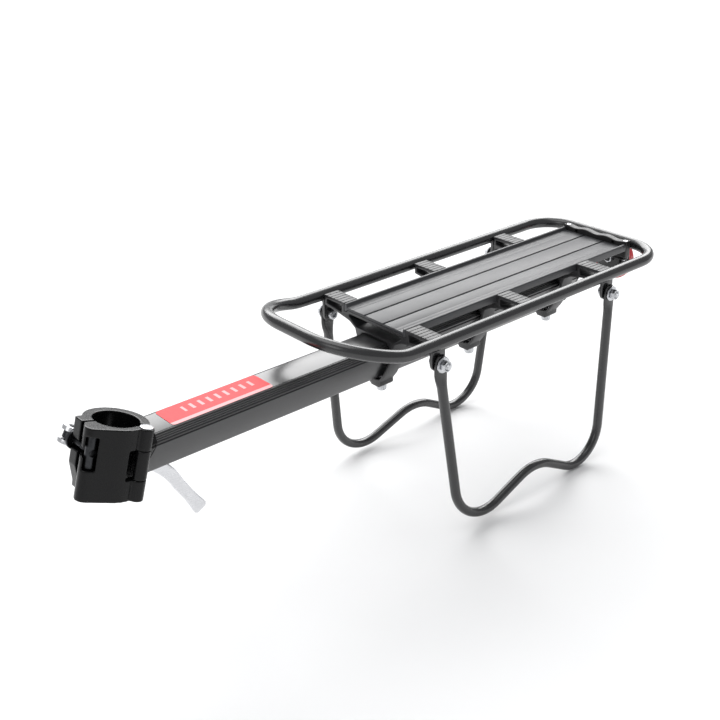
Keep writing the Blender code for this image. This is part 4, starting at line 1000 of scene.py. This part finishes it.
# %% [markdown]
# ## Quick release
# The bolt pivots on a round trunnion in the jaw, and the lever's head turns on a pin through
# the bolt's eye. Its arm passes the collar and curves down under the beam. A forging like this
# has one flowing line, so the arm is swept along a smooth curve through a few points, with a
# section that narrows and then flares at the tip.

# %% Pins, bolt and washer
LEVER_ANGLE = math.radians(33.0)
CAM = 7.0
CAM_SET = FIN_END + GAP + CAM_WASHER + GAP + CAM
PIVOT_TURN = Matrix.Rotation(LEVER_ANGLE, 4, "Y")
pivot_place = LEAN @ Vector((-BOLT_FORWARD, CAM_SET, BOLT_LEVEL))
TO_PIVOT = Matrix.Translation(pivot_place) @ PIVOT_TURN


def pin_profile(radius, height, edge=0.5):
    return eased([(0, 0), (radius, 0), (radius, height), (0, height)], edge)


def threads(radius, start, end, pitch=0.8, depth=0.4):
    """Profile points of a thread between two heights."""
    points = []
    step = math.copysign(pitch, end - start)
    for i in range(int(abs(end - start) / pitch)):
        points += [(radius, start + step * (i + 0.1)), (radius - depth, start + step * (i + 0.6))]
    return points


hinge_top = COLLAR_HALF - 0.5
head = [(SCREW, 2 * hinge_top + 0.6), (4.6, 2 * hinge_top + 0.6), (4.6, 2 * hinge_top + 1.2),
        (0, 2 * hinge_top + 2.4)]
shape = turned([(0, 0), (SCREW, 0)] + eased(head, 0.9), (*HINGE, -hinge_top), (0, 0, 1))
fastener(moved(shape, LEAN), "collar_hinge_pin", "hinge_pin", "beam_assembly")
shape = turned(pin_profile(TRUNNION, 2 * TRUNNION_HALF, 0.7),
               (*trunnion, BOLT_LEVEL - TRUNNION_HALF), (0, 0, 1))
bolt_bore = rod((trunnion[0], -40, BOLT_LEVEL), (trunnion[0], 40, BOLT_LEVEL), BOLT_RADIUS + GAP)
shape = combined(shape, [bolt_bore], "DIFFERENCE")
fastener(moved(shape, LEAN), "bolt_trunnion", "trunnion_pin", "swing_bolt", blackened)

bolt_start = trunnion[1] - 0.7 * TRUNNION
bolt_length = CAM_SET - 2 - bolt_start
shank = [(0, 0), (BOLT_RADIUS, 0), (BOLT_RADIUS, 0.5)] + threads(BOLT_RADIUS, 1.0, 14.0)
shank += [(BOLT_RADIUS, 15), (BOLT_RADIUS, bolt_length), (0, bolt_length)]
shape = turned(shank, (trunnion[0], bolt_start, BOLT_LEVEL), (0, 1, 0))
eye = turned(eased([(0, -2.6), (4.6, -2.6), (4.6, 2.6), (0, 2.6)], 0.6), (0, 0, 0), (0, 0, 1))
shape = combined(moved(shape, LEAN), [moved(eye, TO_PIVOT)], "UNION")
shape = combined(shape, [moved(rod((0, 0, -9), (0, 0, 9), SCREW_HOLE), TO_PIVOT)], "DIFFERENCE")
fastener(shape, "quick_release_bolt", "swing_bolt", "swing_bolt", blackened)
shape = turned(pin_profile(SCREW, 2 * CAM), (0, 0, -CAM), (0, 0, 1))
fastener(moved(shape, TO_PIVOT), "quick_release_pin", "cam_pin", "swing_bolt", blackened)
seat = [(SCREW_HOLE, 0), (6.6, 0), (7.0, 0.4), (7.0, 1.8), (6.6, CAM_WASHER),
        (SCREW_HOLE, CAM_WASHER), (SCREW_HOLE, 0)]
shape = turned(seat, (-BOLT_FORWARD, FIN_END + GAP, BOLT_LEVEL), (0, 1, 0))
fastener(moved(shape, LEAN), "quick_release_washer", "cam_washer", "swing_bolt", blackened)
print("bolt length:", round(bolt_length, 1), "mm")


# %% Lever
def smooth_line(points, count):
    """Catmull-Rom curve through the points."""
    ends = [points[0] * 2 - points[1]] + points + [points[-1] * 2 - points[-2]]
    line = []
    for i in range(count + 1):
        place = i / count * (len(points) - 1)
        k = min(int(place), len(points) - 2)
        t = place - k
        a, b, c, d = ends[k:k + 4]
        line.append(0.5 * (2 * b + (c - a) * t + (2 * a - 5 * b + 4 * c - d) * t ** 2
                           + (3 * b - a - 3 * c + d) * t ** 3))
    return line


lever_line = [(9, 4.5, 0), (34, 6.0, -1), (82.6, -1.5, -8.5), (104, -4.5, -18.4),
              (128, -8.5, -31)]
path = smooth_line([Vector(point) for point in lever_line], 60)
sizes = []
for i in range(len(path)):
    share = i / (len(path) - 1)
    flare = max(0.0, share - 0.86) * 12
    thick = 2.6 - 0.4 * share
    tip = min(1.0, math.sqrt(max(0.0, 1 - share) / 0.02))
    sizes.append((thick * (0.5 + 0.5 * tip), (6.0 - 1.4 * share + flare) * (0.72 + 0.28 * tip)))
arm = swept(path, Vector((0, 1, 0)), sizes, sides=40, squareness=3.2)
head = turned(eased([(0, -6.5), (CAM, -6.5), (CAM, 6.5), (0, 6.5)], 0.8), (0, 0, 0), (0, 0, 1), 64)
neck = block((2, 1.6, -5.5), (12, CAM - 0.2, 5.5))
shape = combined(arm, [head, neck], "UNION")
fork = block((-20, -30, -3.2), (5.6, 30, 3.2))
shape = combined(shape, [fork, rod((0, 0, -20), (0, 0, 20), SCREW_HOLE)], "DIFFERENCE")
finished(moved(shape, TO_PIVOT), "quick_release_lever", polished, "lever", "polished_lever",
         "qr_lever")

# %% [markdown]
# ## Crossbars
# The three crossbars are slices of one extrusion. Each holds two grooved plates level with the
# deck's ribs, an open cell under each plate, a web under the deck and a ring that slides on
# the beam. The cells, the space under the web and the ring are holes in one outline.

# %% Section of a crossbar
CROSSBARS = {place: middle(f"crossbar_{place}")[0] for place in ("front", "middle", "rear")}
SIDES = {"left": 1, "right": -1}
CROSSBAR_HALF = (high("crossbar_front")[0] - low("crossbar_front")[0]) / 2
RACK_TOP = high("crossbar_front")[2]
RING_FOOT = low("crossbar_front")[2]
DECK_HALF = high("deck_panel")[1]
TUBE, TUBE_Y = 5.0, 67.5
TUBE_Z = RACK_TOP - TUBE / 2
RIB, RIB_BOTTOM = 3.2, low("deck_panel")[2]
RIB_HEIGHT, DECK_THICK = 2.9, 2.2
DECK_TOP = RACK_TOP - RIB_HEIGHT
WEB_TOP = DECK_TOP - DECK_THICK - GAP
RING_WALL, BEAM_FIT = 2.2, 0.4
WALL_END = TUBE_Y - TUBE - 0.8
CELL_WALL = 2.5
CELL_END = WALL_END - CELL_WALL
PLATE_GROOVES, GROOVE_HALF, GROOVE_DEPTH = 5, 0.25, 0.5


def ring_side(wall):
    """The leaning side of the ring that slides on the beam, moved out by a wall."""
    side = [(17.7, SHOULDER - 10.0), (12.9, SHOULDER - 19.2), (9.0, SHOULDER - 26.2)]
    return [(y + wall, z - 0.25 * wall) for y, z in side]


def crossbar_half():
    """Half of the outline, from the web round the plate and the ring to the boss."""
    fit, inside = TUBE + 2 * GAP, DECK_HALF + GAP
    plate_end = TUBE_Y - math.sqrt(fit ** 2 - (RACK_TOP - TUBE_Z) ** 2)
    strut = RACK_TOP - 9.0
    ring = BEAM_HALF + BEAM_FIT + RING_WALL
    half = [(0, WEB_TOP), (DECK_HALF - RIB - GAP, WEB_TOP)]
    half += [(DECK_HALF - RIB - GAP, RIB_BOTTOM - GAP), (inside, RIB_BOTTOM - GAP)]
    half.append((inside, RACK_TOP))
    pitch = (plate_end - inside) / (PLATE_GROOVES + 1)
    for i in range(1, PLATE_GROOVES + 1):
        near, far = inside + pitch * i - GROOVE_HALF, inside + pitch * i + GROOVE_HALF
        half += [(near, RACK_TOP), (near, RACK_TOP - GROOVE_DEPTH), (far, RACK_TOP - GROOVE_DEPTH)]
        half.append((far, RACK_TOP))
    half += [(plate_end, RACK_TOP), (TUBE_Y - fit, TUBE_Z), (WALL_END, TUBE_Z - 0.55 * fit)]
    half += [(WALL_END, strut), (46, strut - 2.1), (DECK_HALF + 3.6, strut - 3.1)]
    half += [(DECK_HALF - 5.7, strut - 4.9), (ring + 2.6, BEAM_TOP + 1.2)]
    half += [(ring + 1.0, SHOULDER), (ring, SHOULDER - 4.5)]
    half += ring_side(RING_WALL)
    half += [(6.5, RING_FOOT + 5.5), (6.5, RING_FOOT + 2), (4.5, RING_FOOT), (0, RING_FOOT)]
    return half


def crossbar_holes():
    """The two cells, the space under the web and the hole for the beam."""
    ceiling = RACK_TOP - 3.0
    strut = ceiling - 4.0
    cell = [(DECK_HALF + 3.2, ceiling), (CELL_END, ceiling), (CELL_END, strut),
            (46, strut - 1.7), (DECK_HALF + 4.1, strut - 2.6)]
    top, shoulder = BEAM_TOP + BEAM_FIT, BEAM_HALF + BEAM_FIT
    lid, web = top + RING_WALL, WEB_TOP - 2.5
    under_web = [(0, web), (DECK_HALF - 5.6, web), (DECK_HALF - 5.2, web - 2.2),
                 (shoulder + 3.6, lid), (0, lid)]
    inner = [(0, top), (FLAT_HALF + BEAM_FIT, top), (shoulder, SHOULDER + BEAM_FIT),
             (shoulder, SHOULDER - 3.4)]
    inner += ring_side(0.0) + [(5.4, BEAM_BOTTOM - 1.2), (0, BEAM_BOTTOM - 2.6)]
    return [softened(cell, 1.0), softened([(-y, z) for y, z in cell[::-1]], 1.0),
            softened(mirrored(under_web), 1.2), softened(mirrored(inner), 0.8)]


crossbar_outline = softened(mirrored(crossbar_half()), 0.6)
print("crossbar outline has", len(crossbar_outline), "points")

# %% [markdown]
# Screws hold the crossbars to the tube and the beam. Heads are turned and their sockets are
# hexagons cut into them. A nut's corners are chamfered by a cone, so each flat ends in a
# shallow arc, and the nut is drawn ring by ring to show it.

# %% Screws, washers and nuts
def socket_screw(base, direction, shank, length, head, head_height, socket, thread_from=0.4):
    """Screw with a hexagon socket; base is under the head, and its tip points in direction."""
    away = -Vector(direction).normalized()
    dome = [(0, head_height), (0.82 * head, head_height), (head, 0.8 * head_height), (head, 0)]
    body = [(shank, 0)] + threads(shank, -length * thread_from, -length + 0.8)
    profile = eased(dome, 0.35) + body + [(0.75 * shank, -length), (0, -length)]
    shape = turned(profile, base, away)
    depth = 0.6 * head_height
    hole = hexagon(Vector(base) + away * (head_height - depth), away, socket, depth + head_height)
    return combined(shape, [hole], "DIFFERENCE")


def chamfered_nut(base, direction, across_flats, height, hole):
    """Hexagon nut with coned corners and a threaded hole."""
    shape = bmesh.new()
    sides = 60
    flat = across_flats / 2
    levels = [0, 0.25, 0.5, 0.8, 1.2]
    levels += [height - level for level in reversed(levels)]
    rings = []
    for level in levels:
        cone = flat * 0.98 + 1.6 * min(level, height - level)
        ring = []
        for k in range(sides):
            angle = 2 * math.pi * k / sides
            hexagonal = flat / math.cos((angle + math.pi / 6) % (math.pi / 3) - math.pi / 6)
            radius = min(hexagonal, cone)
            place = (radius * math.cos(angle), radius * math.sin(angle), level)
            ring.append(shape.verts.new(place))
        rings.append(ring)
    inner = [(hole + 0.5, height), (hole, height - 0.5)] + threads(hole, height - 0.6, 0.6)
    inner += [(hole, 0.5), (hole + 0.5, 0)]
    rings += [circle(shape, radius, level, sides) for radius, level in inner]
    skinned(shape, rings, closed=True)
    return moved(shape, Matrix.Translation(base) @ turned_to(direction))


NUT = {"across_flats": 8.0, "height": 4.0, "hole": SCREW_HOLE}
print("nuts are", NUT["across_flats"], "mm across flats")


# %% Crossbars with their screws and rivets
TUBE_SCREW_DIP = math.radians(17)
RIVET_Y = 22.0
tube_screw = [(0, 1.5), (1.3, 1.3), (1.8, 0.4), (1.8, 0), (1.4, 0), (1.4, -10), (0, -10.5)]
for place, x in CROSSBARS.items():
    shape = along_x(crossbar_outline, x - CROSSBAR_HALF, 2 * CROSSBAR_HALF, crossbar_holes())
    finished(shape, f"crossbar_slice_{place}", sawn, "carriage", "black_anodised",
             f"crossbar_{place}")
    for side, sign in SIDES.items():
        aim = Vector((0, sign * math.cos(TUBE_SCREW_DIP), math.sin(TUBE_SCREW_DIP)))
        to_head = aim * (TUBE_Y - CELL_END + GAP) / math.cos(TUBE_SCREW_DIP)
        head = Vector((x, sign * TUBE_Y, TUBE_Z)) - to_head
        shape = turned(eased(tube_screw, 0.3), head - aim * GAP, -aim, 32)
        fastener(shape, f"tube_screw_head_{place}_{side}", f"tube_screw_{place}_{side}")
        node = f"deck_rivet_{place}_{side}"
        bottom, top = low(node)[2], high(node)[2]
        dome = [(0, bottom), (2.2, bottom + 0.3), (3.0, bottom + 1.6), (1.6, bottom + 1.6),
                (1.6, top - 0.2), (0, top)]
        shape = turned(eased(dome, 0.4), (x, sign * RIVET_Y, 0), (0, 0, 1), 32)
        fastener(shape, f"rivet_{place}_{side}", node)
    under = RING_FOOT - GAP
    reach = high(f"clamp_screw_{place}")[2] - under
    shape = socket_screw((x, 0, under), (0, 0, 1), SCREW, reach, head=4.25, head_height=5.0,
                         socket=4.0)
    fastener(shape, f"ring_screw_{place}", f"clamp_screw_{place}")
print("crossbars at", [round(x, 1) for x in CROSSBARS.values()])

# %% [markdown]
# ## Deck
# The deck is a thin extrusion: two grooves along it, a raised rib at each side and a lip below
# each rib. Shallow lines run along it between a groove and its rib, where they catch the light.

# %% Deck panel
DECK_GROOVE, DECK_LINES = 11.2, (24.5, 28.5)
rib_inside = DECK_HALF - RIB
half = [(0, DECK_TOP), (DECK_GROOVE - 1.0, DECK_TOP), (DECK_GROOVE - 0.55, DECK_TOP - 1.2)]
half += [(DECK_GROOVE + 0.55, DECK_TOP - 1.2), (DECK_GROOVE + 1.0, DECK_TOP)]
for line in DECK_LINES:
    half += [(line - 0.25, DECK_TOP), (line, DECK_TOP - 0.08), (line + 0.25, DECK_TOP)]
half += [(rib_inside - 0.2, DECK_TOP), (rib_inside + 0.5, RACK_TOP - 0.5)]
half += [(rib_inside + 1.0, RACK_TOP), (DECK_HALF - 0.6, RACK_TOP), (DECK_HALF, RACK_TOP - 0.6)]
half += [(DECK_HALF, RIB_BOTTOM), (rib_inside, RIB_BOTTOM), (rib_inside, DECK_TOP - DECK_THICK)]
half.append((0, DECK_TOP - DECK_THICK))
deck_start, deck_end = low("deck_panel")[0], high("deck_panel")[0]
deck_outline = softened(mirrored(half), 0.35, steps=2)
shape = along_x(deck_outline, deck_start, deck_end - deck_start, edge=0.3)
finished(shape, "deck_plate", deck_finish, "carriage", "deck_anodised", "deck_panel")
print("deck length:", round(deck_end - deck_start, 1), "mm")

# %% [markdown]
# ## Loop of tube
# The loop is one tube bent in four corners and kinked upwards at the front. The kink is blended
# in over a few millimetres, as a press would leave it. Four flat tabs are welded under it for
# the guards. A bead of weld runs along each joint.

# %% Loop
LOOP_REAR, LOOP_FRONT, LOOP_KINK, LOOP_RISE = 527.0, 159.0, 210.0, 14.3
REAR_BEND, FRONT_BEND, KINK_BLEND = 32, 50, 6.0


def loop_lift(x):
    """How far the tube's middle line stands above the level of its rear part."""
    past = LOOP_KINK - x
    return LOOP_RISE / (LOOP_KINK - LOOP_FRONT) * (past + math.hypot(past, KINK_BLEND)) / 2


halfway = (LOOP_FRONT + LOOP_REAR) / 2
corners = [(halfway, TUBE_Y, 0), (LOOP_REAR, TUBE_Y, 0), (LOOP_REAR, -TUBE_Y, 0),
           (LOOP_FRONT, -TUBE_Y, 0), (LOOP_FRONT, TUBE_Y, 0), (halfway, TUBE_Y, 0)]
plan = rounded_path(corners, [REAR_BEND, REAR_BEND, FRONT_BEND, FRONT_BEND])[:-1]
path = [Vector((p.x, p.y, TUBE_Z + loop_lift(p.x))) for p in evenly(plan, 4, closed=True)]
shape = swept(path, Vector((0, 0, 1)), [(TUBE, TUBE)] * len(path), sides=48, closed=True)

TAB_IN, TAB_THICK, TAB_HALF = TUBE_Y - TUBE + GAP, 3.0, 7.0
BEAD = 1.1
GUARD_BOLT_Z = RACK_TOP - 20.0
parts = [shape]
for x in (CROSSBARS["front"], CROSSBARS["rear"]):
    for sign in SIDES.values():
        foot = arc((0, GUARD_BOLT_Z), TAB_HALF, -180, 0, 24)
        root = TUBE_Z - 0.2 * TUBE
        outline = foot + [(TAB_HALF, root), (-TAB_HALF, root)]
        hole = arc((0, GUARD_BOLT_Z), SCREW_HOLE, 0, 345, 23)
        tab = moved(prism(outline, TAB_THICK, [hole], edge=0.4),
                    Matrix.Rotation(math.pi / 2, 4, "X"))
        outside = TAB_IN + TAB_THICK if sign > 0 else -TAB_IN
        parts.append(moved(tab, Matrix.Translation((x, outside, 0))))
        bead_y = sign * (TAB_IN + TAB_THICK)
        bead_z = TUBE_Z - math.sqrt(TUBE ** 2 - (TUBE_Y - abs(bead_y)) ** 2)
        ripples = [Vector((x + t * TAB_HALF / 12, bead_y, bead_z - 0.1)) for t in range(-12, 13)]
        widths = [(BEAD + 0.18 * (i % 2), BEAD + 0.18 * (i % 2)) for i in range(len(ripples))]
        widths[0] = widths[-1] = (0.4, 0.4)
        parts.append(swept(ripples, Vector((0, 0, 1)), widths, sides=16))
finished(united(*parts), "tube_loop", anodised, "carriage", "black_anodised", "frame_loop")
print("loop path:", len(path), "rings")

# %% [markdown]
# ## Side guards
# Each guard is one tube with flattened ends. It drops from the front bolt, turns under, humps
# in the middle, turns again lower down and climbs to the rear bolt, while it leans out by a
# little over three degrees. The flats are where a press squeezed the tube for the bolts.

# %% Guards
GUARD, GUARD_FLAT, FLAT_WIDE = 3.9, 2.0, 6.6
GUARD_DROP, FLAT_BLEND = 170.8, 14
GUARD_BENDS = [60, 36, 45, 32, 60]
GUARD_SPLAY = math.radians(3.4)
first, last = CROSSBARS["front"], CROSSBARS["rear"]
span, guard_low = last - first, GUARD_BOLT_Z - GUARD_DROP
corners = [(first, 0, GUARD_BOLT_Z + TAB_HALF), (first, 0, GUARD_BOLT_Z - 12),
           (first + 0.087 * span, 0, guard_low + 8), (first + 0.535 * span, 0, guard_low + 43),
           (last - 0.067 * span, 0, guard_low), (last, 0, GUARD_BOLT_Z - 12),
           (last, 0, GUARD_BOLT_Z + TAB_HALF)]
plan = rounded_path(corners, GUARD_BENDS)
for side, sign in SIDES.items():
    path = evenly(plan, 2.5)
    off = TAB_IN + TAB_THICK + GAP + GUARD_FLAT
    sizes = []
    for point in path:
        below = GUARD_BOLT_Z - TAB_HALF - 1 - point.z
        share = min(1.0, max(0.0, below / FLAT_BLEND))
        share = share * share * (3 - 2 * share)
        from_end = (GUARD_BOLT_Z + TAB_HALF - point.z + 0.3) / TAB_HALF
        end_round = math.sqrt(max(0.05, min(1.0, from_end)))
        wide = FLAT_WIDE * (0.3 + 0.7 * end_round)
        sizes.append((GUARD_FLAT + (GUARD - GUARD_FLAT) * share, wide + (GUARD - wide) * share))
        point.y = sign * (off + max(0.0, below) * math.tan(GUARD_SPLAY))
    shape = swept(path, Vector((0, 1, 0)), sizes, sides=36, squareness=2.3)
    holes = [rod((x, 0, GUARD_BOLT_Z), (x, sign * 140, GUARD_BOLT_Z), SCREW_HOLE, 32)
             for x in (first, last)]
    shape = combined(shape, holes, "DIFFERENCE")
    finished(shape, f"guard_tube_{side}", anodised, "carriage", "black_anodised", f"guard_{side}")
print("guards hang to", round(low("guard_left")[2], 1), "mm")

# %% [markdown]
# Each guard end is held by a screw through the tab, with a wide washer and a nut outside. The
# screw's threaded end stands a few threads proud of the nut.

# %% Guard bolts, washers and nuts
WIDE_WASHER = 1.3
guard_face = TAB_IN + TAB_THICK + GAP + 2 * GUARD_FLAT + GAP
nut_seat = guard_face + WIDE_WASHER + GAP
wide_ring = [(SCREW_HOLE, 0), (6.1, 0), (6.5, 0.4), (6.5, 0.9), (6.1, WIDE_WASHER),
             (SCREW_HOLE, WIDE_WASHER), (SCREW_HOLE, 0)]
screw_length = nut_seat + 5.4 - TAB_IN + GAP
for place, x in (("front", first), ("rear", last)):
    for side, sign in SIDES.items():
        out = Vector((0, sign, 0))
        base = Vector((x, 0, GUARD_BOLT_Z))
        shape = socket_screw(base + out * (TAB_IN - GAP), out, SCREW, screw_length, head=4.25,
                             head_height=4.0, socket=4.0, thread_from=0.3)
        fastener(shape, f"guard_screw_{place}_{side}", f"guard_bolt_{place}_{side}")
        shape = turned(wide_ring, base + out * guard_face, out)
        fastener(shape, f"wide_washer_{place}_{side}", f"guard_washer_{place}_{side}")
        shape = chamfered_nut(base + out * nut_seat, out, **NUT)
        fastener(shape, f"hexagon_nut_{place}_{side}", f"guard_nut_{place}_{side}")
print("guard screws are", round(screw_length, 1), "mm long")

# %% [markdown]
# ## End piece and reflector
# A moulded piece closes the deck's rear end. Its top edge is wavy, and a screw at each end
# holds it to the bracket below. The bracket carries the reflector: a plastic dish with a red
# lens. The lens is moulded in small hexagonal prisms that send light straight back.

# %% End piece and bracket
piece_front, piece_foot = low("deck_end_piece")[0], low("deck_end_piece")[2]
piece_back = LOOP_REAR - TUBE - GAP
rim = RACK_TOP + 1.6
WAVE, SUNK = 0.7, 2.2
top = [(DECK_HALF * (1 - 2 * i / 60), rim + WAVE * math.cos(6 * math.pi * i / 60))
       for i in range(61)]
outline = softened(top + [(-DECK_HALF, piece_foot), (DECK_HALF, piece_foot)], 1.5)
wall = along_x(outline, piece_front, piece_back - piece_front, edge=0.9, steps=4)
shelf = block((piece_front, -0.8 * DECK_HALF, piece_foot),
              (LOOP_REAR, 0.8 * DECK_HALF, TUBE_Z - TUBE - GAP))
shape = combined(wall, [shelf], "UNION")
screw_x = (piece_front + piece_back) / 2
screw_y = DECK_HALF - 3.4
END_SCREW, END_SCREW_HOLE = 1.5, 1.8
cutters = []
for sign in SIDES.values():
    y, dot = sign * screw_y, sign * DECK_GROOVE * 1.9
    cutters.append(rod((screw_x, y, rim - SUNK), (screw_x, y, rim + 9), 2.7))
    cutters.append(rod((screw_x, y, piece_foot - 1), (screw_x, y, rim), END_SCREW_HOLE, 24))
    cutters.append(rod((piece_front - 1, dot, rim - 3), (piece_front + 3, dot, rim - 3), 1.6))
finished(combined(shape, cutters, "DIFFERENCE"), "deck_end_moulding", abs_black, "carriage",
         "black_plastic", "deck_end_piece")
for side, sign in SIDES.items():
    shape = socket_screw((screw_x, sign * screw_y, rim - SUNK + GAP), (0, 0, -1), END_SCREW,
                         rim - piece_foot + 1.5, head=2.4, head_height=2.4, socket=2.0)
    fastener(shape, f"end_screw_{side}", f"end_piece_screw_{side}")

STRIP, LEG = 1.8, 22.0
REFLECTOR, REFLECTOR_Z = 22.0, middle("reflector_housing")[2]
back = LOOP_REAR + TUBE + 12.0
strip_top = piece_foot - GAP
wide = DECK_HALF - 1.0
flat_outline = softened([(piece_front, -wide), (screw_x + 4, -wide), (screw_x + 4, wide),
                         (piece_front, wide)], 2.0)
flat = moved(prism(flat_outline, STRIP, edge=0.3), Matrix.Translation((0, 0, strip_top - STRIP)))
bend = [(piece_front, strip_top), (back - 2.2, strip_top), (back - 0.7, strip_top - 0.7),
        (back, strip_top - 2.2), (back, REFLECTOR_Z - 9), (back - STRIP, REFLECTOR_Z - 9),
        (back - STRIP, strip_top - STRIP), (piece_front, strip_top - STRIP)]
leg = moved(prism(bend, LEG, edge=0.3),
            Matrix.Translation((0, LEG / 2, 0)) @ Matrix.Rotation(math.pi / 2, 4, "X"))
shape = combined(flat, [leg], "UNION")
cutters = [rod((screw_x, y, strip_top - 5), (screw_x, y, strip_top + 1), END_SCREW_HOLE, 24)
           for y in (-screw_y, screw_y)]
cutters.append(rod((back - 9, 0, REFLECTOR_Z), (back + 1, 0, REFLECTOR_Z), SCREW_HOLE))
finished(combined(shape, cutters, "DIFFERENCE"), "reflector_strip", enamel, "carriage",
         "painted_strip", "reflector_bracket")
print("end screws stand", round(2 * screw_y, 1), "mm apart")


# %% Reflector
def prismatic_lens(radius, inside, skirt, face, edge, crown, prism_size=2.6, ring_step=0.42):
    """Lens with hexagonal prisms inside a plain rim; its skirt wraps round the dish behind it."""
    shape = bmesh.new()
    sides = 120
    turns = [2 * math.pi * k / sides for k in range(sides)]
    around = [(math.cos(turn), math.sin(turn)) for turn in turns]
    profile = [(inside, face), (inside, skirt), (radius - 0.4, skirt), (radius, skirt + 0.4),
               (radius, edge)]
    count = int(radius / ring_step)
    radii = [radius * (1 - step / count) for step in range(1, count)]
    rings = [[shape.verts.new((r * x, r * y, z)) for x, y in around] for r, z in profile]
    row_height = prism_size * math.sqrt(3) / 2
    for r in radii:
        dome = edge + (crown - edge) * math.sqrt(1 - (r / radius) ** 2)
        ring = []
        for x, y in around:
            row = math.floor(r * y / row_height)
            distances = []
            for k in (row, row + 1):
                shift = 0.5 * (k % 2)
                sideways = r * x / prism_size - (round(r * x / prism_size - shift) + shift)
                distances.append(math.hypot(sideways, 0.866 * (r * y / row_height - k)))
            relief = max(0.0, 0.5 - min(distances)) * 0.9 if r < radius - 3 else 0.0
            ring.append(shape.verts.new((r * x, r * y, dome - 0.4 + relief)))
        rings.append(ring)
    skinned(shape, rings)
    shape.faces.new(rings[-1])
    shape.faces.new(rings[0])
    return shape


seat = back + GAP
DISH, dish = 4.2, REFLECTOR - 2.2
profile = [(0, DISH), (dish, DISH), (dish, 1.0), (dish - 2, 0), (9, 0), (8, -0.01)]
profile += [(SCREW, -0.01), (SCREW, -8), (0, -8)]
shape = turned(eased(profile, 0.3), (seat, 0, REFLECTOR_Z), (1, 0, 0), 96)
finished(shape, "reflector_dish", abs_black, "carriage", "black_plastic", "reflector_housing")
lens_back = DISH + GAP
lens = prismatic_lens(REFLECTOR, dish + GAP, skirt=1.0, face=lens_back, edge=lens_back + 1.0,
                      crown=lens_back + 3.8)
shape = moved(lens, Matrix.Translation((seat, 0, REFLECTOR_Z)) @ turned_to((1, 0, 0)))
finished(shape, "reflector_face", acrylic, "carriage", "red_lens", "reflector_lens")
shape = chamfered_nut((back - STRIP - GAP, 0, REFLECTOR_Z), (-1, 0, 0), **NUT)
fastener(shape, "reflector_hexagon_nut", "reflector_nut")
print("reflector is", 2 * REFLECTOR, "mm across")

# %% [markdown]
# ## Hidden pins and the end
# The two pins under the beam keep the solid model's shape. They only need the zinc finish.

# %% Finish
for node in ("beam_pin_front", "beam_pin_rear"):
    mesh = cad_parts[node].data
    mesh.materials.clear()
    mesh.materials.append(zinc)
